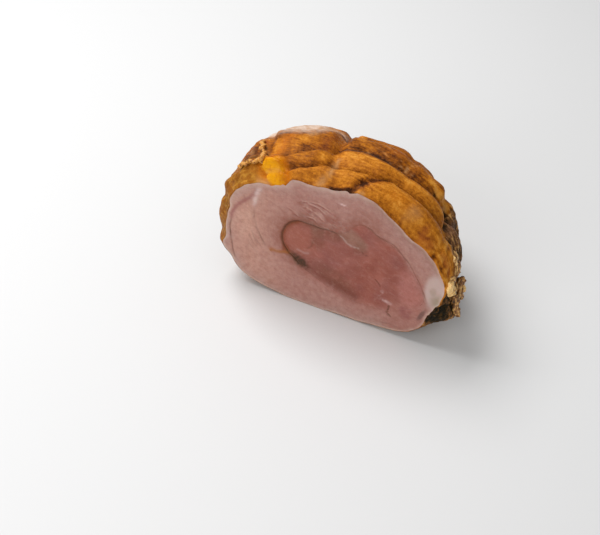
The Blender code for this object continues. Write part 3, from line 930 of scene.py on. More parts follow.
class Face:
    """A cut face's points, and what the marks on it are measured from, in millimetres.

    signed is how far a point lies outside the inner roll's outline, and turn is where round it, in
    degrees. left_end and fold are 1 at the inner roll's left end and where the roll folds over it.
    """

    def __init__(self, points):
        self.x, self.z = points[:, 0], points[:, 2]
        self.flat = np.stack([self.x, self.x * 0, self.z], -1)
        self.bent_x = self.x + LINE_BEND * self.noise(LINE_BEND_SCALE, 21)
        self.bent_z = self.z + LINE_BEND * self.noise(LINE_BEND_SCALE, 22)
        across, up = self.bent_x - CORE_CENTRE[0], self.bent_z - CORE_CENTRE[1]
        direction = np.arctan2(up, across)
        self.signed = np.hypot(across, up) - core_radius(direction)
        self.turn = np.degrees(direction) % 360
        self.left_end = window(self.turn, 146, 196)
        self.fold = window(self.turn, 119, 148)
        self.patches = self.noise(4.0, 30)
        self.uneven = 1 + 0.8 * self.noise(6.0, 31)

    def noise(self, size, seed, octaves=2):
        return noise_at(self.flat, size, octaves, seed=seed)

    def broken(self, level, contrast=1.0):
        """1 in most patches and 0 in the others, which breaks up a mark."""
        return smooth_step(level + contrast * self.patches)

    def line(self, points, width, taper=0.12):
        """1 on a line through the points, thinning out at both ends."""
        here = np.stack([self.bent_x, self.bent_z], -1)
        nearest, along = nearest_on_line(here, np.array(points, float))
        ends = smooth_step(along / taper) * smooth_step((1 - along) / taper)
        return bell(nearest, width) * mix(LINE_END_SHARE, 1.0, ends)

    def lines(self, rows):
        """The sum of several lines, each with its amount, its width and, if given, its taper."""
        return sum(amount * self.line(points, *shape) for points, amount, *shape in rows)

    def region(self, middle, radii, turn=0.0, edge=0.25):
        """1 inside an ellipse, fading out across its edge."""
        across, up = self.bent_x - middle[0], self.bent_z - middle[1]
        c, s = math.cos(math.radians(turn)), math.sin(math.radians(turn))
        far = np.hypot((across * c + up * s) / radii[0], (-across * s + up * c) / radii[1])
        return smooth_step((1 - far) / edge + 0.5)

    def regions(self, rows):
        """The sum of several regions, each with its amount."""
        return sum(amount * self.region(*shape) for amount, *shape in rows)

    def streaks(self, turn, length, width, seed):
        """Noise drawn out along a direction, as muscle fibres are."""
        c, s = math.cos(math.radians(turn)), math.sin(math.radians(turn))
        along, across = self.x * c + self.z * s, -self.x * s + self.z * c
        spots = np.stack([along / length, across / width, self.x * 0], -1)
        return noise_at(spots, 1.0, 2, seed=seed)


# %% [markdown]
# ### Seams between muscles
# Where one muscle meets the next there is a thin dark seam, and the knife drags the meat a little
# into it. The longest ones follow the wrap on the left and the inner roll on the right. Fine arcs
# beside the left seam show that the muscle there was bent round. Each function for the face gives
# the numbers for the colours and a height for the relief.

# %% Seams
WRAP_SEAM = ((-79.4, 64), (-80.8, 54), (-80.4, 45), (-78.8, 32), (-76.5, 20))
LOBE_SEAM = ((-60.8, 80), (-60.6, 70), (-59, 60.5), (-54.6, 50.5), (-50.3, 44))
CORE_SEAM = ((36.5, 88.5), (44, 86.5), (48.3, 83.6), (57.8, 73.6), (67.0, 59.1), (71.4, 49.8),
             (74.4, 42.8))
LAP_CRACK = ((47.7, 29), (47.2, 24.5), (46.4, 20.5), (50.4, 17.5))
ROUND_ARC = ((-13.8, 66), (-14.6, 61), (-18.5, 56))
DARK_STREAK = ((34.5, 50), (39.5, 44))
LIP_SEAM = ((41, 8.5), (50, 10), (60, 8))
FINE_ARCS = (
    ((-65.2, 55.5), (-64.2, 50), (-61, 43.5), (-57, 40)),
    ((-61.5, 53), (-58, 47.5), (-53.5, 41.5)),
    ((-57.7, 58.6), (-55.2, 52.2), (-51, 46.5)),
    ((-66.5, 47), (-63.5, 41), (-59, 36.5)),
    ((-63.5, 57), (-61.0, 50), (-57, 43)),
)
OUTER_SEAMS = (((30, 100), (44, 92), (58, 78), (68, 60)),
               ((-40, 103), (-20, 104), (0, 99), (14, 94)))
SHARP_EDGE, SOFT_EDGE = 1.2, 8.0


def seam_marks(face):
    dark = 0.65 * face.left_end * bell(face.signed, 1.0)
    dark += face.uneven * 0.30 * window(face.turn, 60, 96, 10) * bell(face.signed, 0.8)
    dark += face.uneven * face.lines(((CORE_SEAM, 0.42, 0.6), (WRAP_SEAM, 0.62, 0.5),
                                      (LOBE_SEAM, 0.26, 0.9)))
    dark += face.lines(((LAP_CRACK, 0.95, 0.55, 0.05), (ROUND_ARC, 0.40, 0.8),
                        (DARK_STREAK, 0.50, 0.6), (LIP_SEAM, 0.30, 0.6)))
    dark += face.lines((arc, 0.34, 0.45, 0.4) for arc in FINE_ARCS)
    dark += face.lines((seam, 0.10, 0.7) for seam in OUTER_SEAMS)
    sharp = np.maximum(window(face.turn, 100, 200), 0.75 * window(face.turn, 20, 100, 30))
    softness = mix(SOFT_EDGE, SHARP_EDGE, sharp)
    outside = smooth_step(0.5 + face.signed / (2 * softness))
    vein = 0.75 * face.region((71.8, 29.6), (1.7, 6.0), -20, 0.8)
    sunk = 0.25 * bell(face.signed, 1.0) * np.maximum(face.left_end, face.fold)
    return {"dark": dark, "outside": outside, "vein": vein}, -0.7 * np.clip(dark, 0, 1) - sunk


# %% [markdown]
# ### Herbs and scorched meat
# Herbs were rubbed in before rolling, and the juice that ran between the rolls browned. Both show
# along the inner roll's left end and under the fold, as dark specks in a brownish stain. A small
# flap of skin is folded in beside them. The umber stain also carries painted shade under the fold's
# overhanging lip and a painted shadow across the inner roll's lower left.

# %% Herbs and stains
HERB_SMEAR = ((-32.5, 49), (-28.5, 45.5), (-25.5, 42.5), (-21, 41), (-18, 38))
SKIN_FLAP = ((-48, 42.5), (-46, 44.5), (-41, 44.3), (-36, 46), (-31.5, 47))
# Amount, middle, radii, turn in degrees and softness of the edge.
UMBER_AND_SHADE_REGIONS = (
    (0.75, (-11, 71), (5.5, 11), 10, 0.8),
    (0.6, (2, 75.5), (10, 4.5), 20, 0.9),
    (0.6, (21.5, 72.5), (5.0, 6.5), -20, 0.9),
    (0.5, (-21, 84), (6.5, 5), -20, 0.9),
    # The last is a painted shadow across the inner roll's lower left.
    (0.8, (3, 38), (17, 7.0), -26, 1.0),
)


def stain_and_shade_marks(face):
    specks = smooth_step(0.42 + 2.6 * face.noise(2.4, 23, 3))
    herb = face.line(HERB_SMEAR, 3.6, 0.3) + 0.9 * face.region((-22.5, 41.5), (6.5, 4.4), -35, 1.0)
    herb *= 0.40 + 0.45 * specks
    herb += 0.55 * face.uneven * face.fold * bell(face.signed, 0.9)
    herb += 0.35 * face.left_end * bell(face.signed - 0.5, 0.6)
    herb += 0.5 * face.region((25.5, 70.5), (3.6, 1.9), -35, 0.9) * specks
    toasted = 0.9 * face.left_end * bell(face.signed + 0.6, 2.7)
    toasted *= smooth_step((202 - face.turn) / 40 + 0.3)
    toasted += 0.75 * face.region((-35.5, 49.5), (3.0, 4.5), 0, 0.9)
    umber_and_shade = face.regions(UMBER_AND_SHADE_REGIONS) + 0.6 * face.line(HERB_SMEAR, 4.5, 0.3)
    umber_and_shade += 0.5 * window(face.turn, 118, 158) * bell(face.signed - 1.5, 3.0)
    # Painted shade inside the inner roll under the fold's overhanging lip.
    umber_and_shade += 0.7 * window(face.turn, 116, 150) * bell(face.signed + 3.0, 3.0)
    flap = face.line(SKIN_FLAP, 1.7, 0.04)
    marks = {"herb": herb, "toasted": toasted, "umber_and_shade": umber_and_shade * (1 + 0.6 * face.patches),
             "flap": flap * face.broken(1.0)}
    return marks, 0.5 * flap


# %% [markdown]
# ### Fat and tendon
# A lump of white fat sits at the right end, greyish where it is old, and a thinner one at the upper
# left, with a painted highlight along it. Pale threads and flecks of tendon are strewn between the
# muscles. Fat is firmer than meat, so it stands out of the cut by a trace.

# %% Fat and tendon
WHITE_PATCH = ((-61.0, 79), (-60.8, 84), (-59.8, 90), (-57.2, 96), (-54.5, 100.5))
GREY_THREAD = ((4.5, 80), (7.9, 77.5), (10.6, 74.6), (15.1, 72.6), (19.5, 72.8), (24, 72.4))
PALE_STREAK = ((-27, 53.2), (-21, 52.0), (-16, 52.8))
PINK_FLECK = ((2.5, 108), (8.5, 106.5))
WHITE_FLECK = ((41.5, 32.6), (45.7, 31.6), (49.5, 29.6))


def fat_marks(face):
    fat = 0.95 * face.region((78.4, 55.5), (7.4, 15.5), 4, 0.55)
    fat += 0.95 * face.line(WHITE_PATCH, 2.2, 0.3) * face.broken(0.75, 1.6)
    fat += 0.42 * face.line(GREY_THREAD, 0.9) * face.broken(0.4, 2.5)
    fat += 0.28 * face.line(PALE_STREAK, 1.2)
    old_fat = face.regions(((1.0, (83.5, 46.5), (6.5, 7), 10, 1.2),
                            (0.5, (77, 56), (2.5, 3.5), 0, 0.9)))
    pale_flecks_and_highlight = face.line(PINK_FLECK, 0.7)
    pale_flecks_and_highlight += 0.5 * face.region((39.6, 38.5), (1.8, 3.4), -25, 1.4) * face.broken(0.5, 2)
    # A painted highlight along the white patch.
    pale_flecks_and_highlight += 0.65 * face.line(WHITE_PATCH, 1.3, 0.3) * face.broken(0.8)
    pale_flecks_and_highlight += 0.7 * face.line(WHITE_FLECK, 1.4) * face.broken(0.8, 1.5)
    marks = {"fat": fat * (1 + 0.15 * face.patches), "old_fat": old_fat, "pale_flecks_and_highlight": pale_flecks_and_highlight}
    return marks, 0.12 * np.clip(fat, 0, 1)


# %% [markdown]
# ### Flaky meat
# Above the inner roll the knife pulled coarse bundles apart. Noise drawn out along the fibres gives
# the flakes, with painted highlights on their paler parts, and a few torn lines give the deeper gaps:
# painted shade in each gap and a painted highlight along the lit edge above it.

# %% Flakes
FLAKE_TURN, FLAKE_LENGTH, FLAKE_WIDTH = -28, 7.0, 2.0
FLAKE_LINES = (
    ((-27.8, 97.2), (-22, 98.3), (-15, 96.8), (-8, 93.7), (-3.9, 90.6)),
    ((-26.7, 93.4), (-20.7, 93.4), (-14.6, 91), (-10.5, 87.9), (-5.5, 85.1)),
    ((-21, 99.2), (-12.2, 100.2), (-6.3, 97.9), (-1.2, 95.2)),
    ((-34.6, 89.2), (-30.4, 86), (-26.2, 82.8)),
    ((-20, 86), (-15, 85), (-11, 82.5)),
)
LIT_EDGE_SHIFT = (0.5, 1.4)


def flake_marks(face):
    flaky = face.region((-9, 91), (20, 9.0), -22, 0.7)
    flakes = face.streaks(FLAKE_TURN, FLAKE_LENGTH, FLAKE_WIDTH, 25)
    torn, lit = (np.clip(face.lines((np.array(line) + shift, 1.0, 0.6, 0.25) for line in FLAKE_LINES), 0, 1)
                 for shift in ((0, 0), LIT_EDGE_SHIFT))
    # The paler flakes and lit edges are painted highlights; the dark torn lines are painted shade in the
    # gaps.
    light = flaky * smooth_step(-0.1 - 1.6 * flakes) * (1 - torn)
    marks = {"flaky": np.maximum(flaky * smooth_step(0.35 + 1.2 * flakes), 0.9 * torn),
             "flake_highlight": np.maximum(light, lit)}
    return marks, 2.0 * flaky * flakes - 0.7 * torn + 0.3 * lit


# %% [markdown]
# ### Broad shades
# Meat is never one colour. It is darker beside the inner roll, paler towards the left, rosy along
# the wrap, where the upper part is painted shade, and cloudy inside. These shades have no relief.
# Three of them are on the inner roll alone, and one of those is a painted shadow across its lower
# left. Three follow the rim, where the face is drier, so they are on the outer roll alone.

# %% Shades of the meat
# The first band is painted shade along the upper wrap, and the second a painted shadow across the inner
# roll's lower left.
WRAP_SHADE_BAND = ((-80.0, 60), (-79.0, 67), (-74.7, 75.8), (-69.0, 82.7), (-63.5, 87.6), (-60.0, 93),
             (-57.5, 99))
SHADOW_BAND = ((-30, 46), (-18, 36.5), (-8, 33), (1, 29.5), (13, 26.5), (24, 22))


def meat_shades(face):
    near = window(face.turn, 62, 215, 40) * bell(np.maximum(face.signed - 1, 0), 10)
    rosy = face.region((60.5, 27), (5.0, 6.0), 20, 0.9) * face.broken(0.7)
    return {
        "near": near * (face.signed > -2) * (1 + 0.5 * face.patches),
        # The band along the upper wrap is painted shade.
        "rosy": rosy + face.line(WRAP_SHADE_BAND, 1.7),
        "pink": face.region((61, 48), (9, 18), 8, 0.8),
        "lobe": face.region((-70.5, 64), (11, 18), 8, 0.8),
        "pale": smooth_step((-25 - face.x) / 40),
        "lower": smooth_step((face.x - 42) / 12) * smooth_step((42 - face.z) / 12),
        "cloud": 0.5 + 1.2 * face.noise(13, 29, 3),
        "dusky": 0.4 + 1.4 * face.noise(19, 32, 3),
        "fleck": 0.5 + 0.9 * face.patches,
    }


def inner_shades(face):
    return {
        "grey": face.regions(((1.0, (13.5, 80.5), (13.5, 6.8), -30, 0.5),
                              (0.5, (-11.5, 76), (4.5, 6), 0, 0.9))),
        "round": face.region((-27, 63), (13, 16), 0, 1.6),
        # A painted shadow across the inner roll's lower left.
        "deep": face.line(SHADOW_BAND, 6.5, 0.05),
    }


def rim_shades(face, from_rim):
    rim = bell(from_rim, 0.8 + 0.8 * (1 + face.noise(6, 28))) * (0.8 + face.patches)
    from_middle = np.degrees(np.arctan2(face.z - DROP, face.x))
    fat_rim = window(from_middle, 66, 152, 16) * bell(from_rim, 3.2) * (0.85 + face.patches)
    upper_right = smooth_step((face.x - 5) / 25) * smooth_step((face.z - 66) / 14)
    return {
        "rim": np.maximum(rim, 0.8 * fat_rim),
        "skin": bell(from_rim, 7.0),
        "scorched": bell(from_rim, 3.4) * upper_right,
    }


# %% All marks and the relief
FACE_SWELL, FACE_SWELL_SIZE, PATCH_HEIGHT = 0.35, 16, 0.12
FLAT_RIM = 2.5
FACE_LIFT, FACE_SINK, FACE_FRONT = 0.35, 0.85, -0.30


def face_marks(points, from_rim=None):
    """The numbers that the meat's material reads, and the relief. The inner roll has no rim."""
    face = Face(points)
    marks = meat_shades(face)
    relief = FACE_SWELL * face.noise(FACE_SWELL_SIZE, 26) + PATCH_HEIGHT * face.patches
    for find in (seam_marks, stain_and_shade_marks, fat_marks, flake_marks):
        found, height = find(face)
        marks.update(found)
        relief += height
    marks.update(dict.fromkeys(("grey", "round", "deep", "rim", "skin", "scorched"), 0 * face.x))
    if from_rim is None:
        marks.update(inner_shades(face))
    else:
        marks.update(rim_shades(face, from_rim))
        relief *= smooth_step(from_rim / FLAT_RIM)
    return marks, relief


def press_face(points, relief, is_front):
    """Moves the front's points by the relief: a little out of the face, and further into it."""
    pressed = points[:, 1] + np.clip(-relief, -FACE_LIFT, FACE_SINK)
    points[:, 1] = np.where(is_front, np.maximum(pressed, FACE_FRONT), points[:, 1])


def paint_marks(piece, marks):
    """Paints all the numbers on a piece, from 0 to 1."""
    for name, values in marks.items():
        paint(piece, name, np.clip(values, 0, 1))


# %% [markdown]
# ### The outer roll's face
# It is a flat ring, a torus whose rounds run from the seam to the rim on the front and back again
# on a thin back, which is hidden in the crust's hollow front.

# %% Cut face of the outer roll
FACE_ROUNDS = 104
BACK_SHARES = (0.96, 0.5, 0.04)

face_shares = np.linspace(0, 1, FACE_ROUNDS)
front = np.stack([mix(seam, rim, share) for share in face_shares])
back = np.stack([mix(seam, rim, share) + [0, FACE_THICKNESS, 0] for share in BACK_SHARES])
outer_cut, column, around = add_ring_primitive("outer_roll_cut", FACE_ROUNDS + len(BACK_SHARES))
points = np.concatenate([front, back])[around, column]
is_front = around < FACE_ROUNDS
reach = np.linalg.norm(rim - seam, axis=1)[column]
from_rim = (1 - face_shares[np.minimum(around, FACE_ROUNDS - 1)]) * reach
marks, relief = face_marks(points, from_rim)
press_face(points, relief, is_front)
shape_points(outer_cut, points)
tidy_piece(outer_cut)
paint_marks(outer_cut, marks)
print("cut face:", len(outer_cut.data.polygons), "faces")

# %% [markdown]
# ## The inner roll
# It is one solid from the cut to the far end: a ball whose rounds become the cut, the side and the
# far cap. The cap is part of the crust, so it takes the crust's surface and its colours.

# %% Inner roll
INNER_COLUMNS = 480
INNER_FACE_ROUNDS, INNER_SIDE_ROUNDS, INNER_CAP_ROUNDS = 118, 4, 30
BEFORE_CAP = INNER_FACE_ROUNDS + INNER_SIDE_ROUNDS

inner_angle = np.arange(INNER_COLUMNS) / INNER_COLUMNS * 2 * math.pi
inner_rim = crust_surface(inner_angle, np.zeros(INNER_COLUMNS))
inner_seam = seam_from_rim(inner_rim)
inner_share = back_share(inner_seam, inner_rim)
inner_mouth = crust_surface(inner_angle, dome_depth(inner_share, inner_angle))
centre = np.array([CORE_CENTRE[0], 0.0, CORE_CENTRE[1]])
tip = np.array([-AXIS_SKEW * LENGTH, LENGTH, DROP])


def towards_axis(points, axis_point, gap):
    """The points, moved towards the roll's axis by a gap."""
    inward = axis_point - points
    inward[:, 1] = 0
    return points + inward / np.linalg.norm(inward, axis=1)[:, None] * gap


edge = towards_axis(inner_seam, centre, SEAM_GAP)
mouth = towards_axis(inner_mouth, tip, SEAM_GAP)
inner_rounds = [mix(centre[None], edge, i / INNER_FACE_ROUNDS) for i in range(1, INNER_FACE_ROUNDS + 1)]
inner_rounds += [mix(edge, mouth, i / INNER_SIDE_ROUNDS) for i in range(1, INNER_SIDE_ROUNDS + 1)]
cap_shares = [1 - i / (INNER_CAP_ROUNDS + 1) for i in range(1, INNER_CAP_ROUNDS + 1)]
cap_depths = [dome_depth(inner_share * share, inner_angle) for share in cap_shares]
inner_rounds += [crust_surface(inner_angle, depths) for depths in cap_depths]
inner_depths = [0 * inner_angle] * (1 + BEFORE_CAP) + cap_depths
inner_depths = np.stack(inner_depths + [LENGTH + 0 * inner_angle])
inner_rounds = np.stack([centre[None] + 0 * edge] + inner_rounds + [tip[None] + 0 * edge])

inner_roll, column, around = add_ball_primitive("inner_roll_meat", INNER_COLUMNS, len(inner_rounds) - 2)
points = inner_rounds[around, column]
is_front = around <= INNER_FACE_ROUNDS
marks, relief = face_marks(points)
press_face(points, relief, is_front)
shape_points(inner_roll, points)
tidy_piece(inner_roll)
paint_marks(inner_roll, marks)
is_cap = around >= BEFORE_CAP
cap_angle, cap_depth = inner_angle[column], inner_depths[around, column]
paint(inner_roll, "browned", is_cap.astype(float))
paint(inner_roll, "tone", np.clip(browning_and_shading(cap_angle, cap_depth, points), 0, 1))
paint(inner_roll, "around", np.radians(degrees_of(cap_angle)) * HALF_WIDTH)
paint(inner_roll, "behind", cap_depth)
print("inner roll:", len(inner_roll.data.polygons), "faces")

# %% [markdown]
# ## Knots and crags
# Where the net's knitting lay in melted fat, its loops stuck as a chain of small twisted knots. In
# the lower right corner fat and meat juice boiled out and dried into rough crags. Both are small
# balls, drawn out in edit mode, turned to stand on the crust and roughened by a Displace modifier.
# Overlapping balls would show where they cross, so a Remesh modifier fuses the crags into one skin,
# and noise drawn out along their height then splits it into strands.

# %% Places on the crust
def crust_place(degrees, depth, lift=0.0):
    """A place on the crust in metres, with its outward direction and the one along the roast."""
    angle = np.radians(np.array([degrees, degrees, degrees + 1.0]))
    here, deeper, further = crust_point(angle, np.array([depth, depth + 1.0, depth]))
    along = Vector(deeper - here).normalized()
    outward = Vector(further - here).cross(along).normalized()
    middle = Vector(here) - Vector((0.0, depth, DROP))
    if outward.dot(middle) < 0:
        outward = -outward
    return Vector((here + SHIFT) * MM) + outward * lift * MM, outward, along


def turn_to(outward, along):
    """The turn that stands a piece on the crust, with its second axis along the roast."""
    side = outward.cross(along).normalized()
    return Matrix((side, along, outward)).transposed()


# %% Knots
# Place of each knot (degrees, depth) and its size in millimetres.
CHAIN_ROUND = ((140.2, 10.2, 2.1), (138.2, 9.5, 2.2), (136.2, 8.9, 2.3), (134.2, 8.6, 2.3),
               (132.2, 8.8, 2.4), (130.3, 9.4, 2.5), (128.4, 9.9, 2.7), (126.4, 9.5, 2.3))
CHAIN_ALONG = ((127.6, 12.8, 2.2), (128.8, 16.2, 2.2), (129.8, 19.2, 2.4), (130.5, 22.2, 2.5),
               (131.0, 25.2, 2.6), (131.5, 28.2, 2.5), (132.2, 31.0, 2.2))
KNOT_LEAN = 38
KNOT_GROWTH, KNOT_LIFT = 1.15, 0.50


def add_knot(degrees, depth, size, lean):
    """One twisted loop: a small ball, drawn out and leaned over in edit mode."""
    size *= KNOT_GROWTH
    place, outward, along = crust_place(degrees, depth, KNOT_LIFT * size)
    bpy.ops.object.select_all(action="DESELECT")
    bpy.ops.mesh.primitive_uv_sphere_add(segments=24, ring_count=16, radius=size * MM)
    knot = bpy.context.object
    bpy.ops.object.mode_set(mode="EDIT")
    bpy.ops.mesh.select_all(action="SELECT")
    bpy.ops.transform.resize(value=(1.15, 0.50, 0.60))
    bpy.ops.object.mode_set(mode="OBJECT")
    knot.data.transform(Matrix.Rotation(math.radians(lean), 4, "Z"))
    knot.data.transform(Matrix.Translation(place) @ turn_to(outward, along).to_4x4())
    return knot


def join(parts, name):
    """Joins the parts into one piece, which stays the active one."""
    bpy.ops.object.select_all(action="DESELECT")
    for part in parts:
        part.select_set(True)
    bpy.context.view_layer.objects.active = parts[0]
    bpy.ops.object.join()
    joined = bpy.context.object
    joined.name = joined.data.name = name
    return joined


def add_displace(piece, size, strength):
    """Pushes the active piece's points in and out by cloud noise, sized in millimetres."""
    texture = bpy.data.textures.new("lumps", "CLOUDS")
    texture.noise_scale = size * MM
    texture.noise_depth = 1
    push = piece.modifiers.new("lumps", "DISPLACE")
    push.texture = texture
    push.texture_coords = "LOCAL"
    push.strength = strength * MM
    push.mid_level = 0.5
    bpy.ops.object.modifier_apply(modifier=push.name)


knots = [add_knot(*knot, KNOT_LEAN * (-1) ** i) for i, knot in enumerate(CHAIN_ROUND)]
knots += [add_knot(*knot, 90 + KNOT_LEAN * (-1) ** i) for i, knot in enumerate(CHAIN_ALONG)]
net_knots = join(knots, "net_knots")
add_displace(net_knots, 1.6, 0.7)
bpy.ops.object.shade_smooth()
print("knots:", len(net_knots.data.polygons), "faces")

# %% Crags
# Place (degrees, depth), lift, radii round, along and out of the roast in millimetres, and how
# pale the crag is, from 0 to 1.
CRAGS = (
    (11.0, 4.4, 1.3, 5.6, 4.6, 3.4, 1.00), (7.0, 7.4, 1.4, 4.8, 4.4, 3.4, 0.95),
    (13, 8.5, 0.6, 3.8, 3.0, 2.4, 0.80), (6.0, 19.0, 3.6, 5.0, 2.0, 3.6, 0.55),
    (2.0, 20.5, 4.4, 4.8, 2.2, 3.8, 0.80), (-3.0, 20.0, 5.2, 4.6, 2.4, 3.8, 0.74),
    (-5.5, 14.5, 2.0, 4.8, 2.2, 2.8, 0.60), (-11, 15.5, 3.0, 6.0, 2.2, 3.2, 0.64),
    (-11, 20.5, 4.8, 6.0, 2.6, 3.6, 0.74), (-19, 16.5, 1.6, 6.0, 2.4, 3.2, 0.64),
    (-19, 21.5, 2.0, 6.0, 2.6, 3.2, 0.72), (-27, 17.0, 0.4, 5.0, 2.6, 3.0, 0.50),
    (-4.0, 27.0, 1.0, 6.0, 3.0, 3.4, 0.45), (-15, 27.0, 0.6, 6.0, 3.0, 3.0, 0.42),
    (16, 14.5, 0.6, 5.2, 2.0, 2.2, 0.74), (23, 13.0, 0.5, 4.6, 1.8, 1.8, 0.76),
    (14, 21.0, 0.8, 5.4, 2.2, 2.4, 0.66), (21, 19.0, 0.6, 5.2, 2.0, 2.0, 0.74),
    (26, 21.0, 0.1, 3.4, 1.6, 1.5, 0.56), (18, 26.5, 0.5, 4.6, 2.2, 2.2, 0.64),
)


def add_crag(degrees, depth, lift, *radii):
    """One lump: a ball, stretched in edit mode and stood on the crust."""
    place, outward, along = crust_place(degrees, depth, lift)
    bpy.ops.object.select_all(action="DESELECT")
    bpy.ops.mesh.primitive_ico_sphere_add(subdivisions=5, radius=MM)
    crag = bpy.context.object
    bpy.ops.object.mode_set(mode="EDIT")
    bpy.ops.mesh.select_all(action="SELECT")
    bpy.ops.transform.resize(value=radii)
    bpy.ops.object.mode_set(mode="OBJECT")
    crag.data.transform(Matrix.Translation(place) @ turn_to(outward, along).to_4x4())
    return crag


def own_normals(piece):
    flat = np.empty(len(piece.data.vertices) * 3, np.float32)
    piece.data.vertices.foreach_get("normal", flat)
    return flat.reshape(-1, 3)


def hollowness(piece, rounds):
    """How far each point lies below the smoothed surface round it, in millimetres."""
    points = own_points(piece) / MM
    ends = np.empty(len(piece.data.edges) * 2, np.int32)
    piece.data.edges.foreach_get("vertices", ends)
    a, b = ends.reshape(-1, 2).T
    count = np.bincount(np.concatenate([a, b]), minlength=len(points))[:, None]
    smooth = points.copy()
    for _ in range(rounds):
        total = np.stack([np.bincount(a, smooth[b, axis], len(points))
                          + np.bincount(b, smooth[a, axis], len(points)) for axis in range(3)], -1)
        smooth = total / np.maximum(count, 1)
    return ((smooth - points) * own_normals(piece)).sum(1)


def paleness_at(points):
    """The paleness of the crags near each point, and shaded from one crag to the next."""
    total, weights = 0.0, 1e-9
    for degrees, depth, lift, *radii, paleness in CRAGS:
        middle = np.array(crust_place(degrees, depth, lift)[0]) / MM
        weight = np.exp(-6 * (np.linalg.norm(points - middle, axis=1) / np.mean(radii)) ** 2)
        total, weights = total + paleness * weight, weights + weight
    return total / weights


# %% Fused crags
FUSE_SIZE = 0.40
STRAND_SIZE, STRAND_STRETCH, STRAND_SINK = 2.4, 0.35, 0.2

fat_crags = join([add_crag(*crag[:-1]) for crag in CRAGS], "fat_crags")
add_displace(fat_crags, 5.0, 2.6)
remesh = fat_crags.modifiers.new("fuse", "REMESH")
remesh.mode = "VOXEL"
remesh.voxel_size = FUSE_SIZE * MM
bpy.ops.object.modifier_apply(modifier=remesh.name)
crag_points = own_points(fat_crags) / MM
crag_strands = noise_at(crag_points * [1.0, 1.0, STRAND_STRETCH], STRAND_SIZE, 2, seed=41)
crag_points += own_normals(fat_crags) * (crag_strands - STRAND_SINK)[:, None]
fat_crags.data.vertices.foreach_set("co", (crag_points * MM).ravel())
add_displace(fat_crags, 1.2, 0.45)
bpy.ops.object.shade_smooth()
# How deep each point lies in a hollow, which the material darkens as painted shade.
paint(fat_crags, "hollow_shade", np.clip(0.5 + 0.9 * hollowness(fat_crags, 16), 0, 1))
paint(fat_crags, "paleness", paleness_at(crag_points))
print("crags:", len(fat_crags.data.polygons), "faces")

# %% [markdown]
# ## Materials
# Each finish is built from the numbers painted on the mesh and from fine noise on the object's own
# coordinates. A small helper adds nodes, so that a material reads like a recipe.

# %% A helper for materials
def colour(red, green, blue):
    """A screen colour, 0 to 255, as the linear colour that shaders use."""
    parts = [part / 255 for part in (red, green, blue)]
    return tuple(p / 12.92 if p <= 0.04045 else ((p + 0.055) / 1.055) ** 2.4 for p in parts) + (1,)


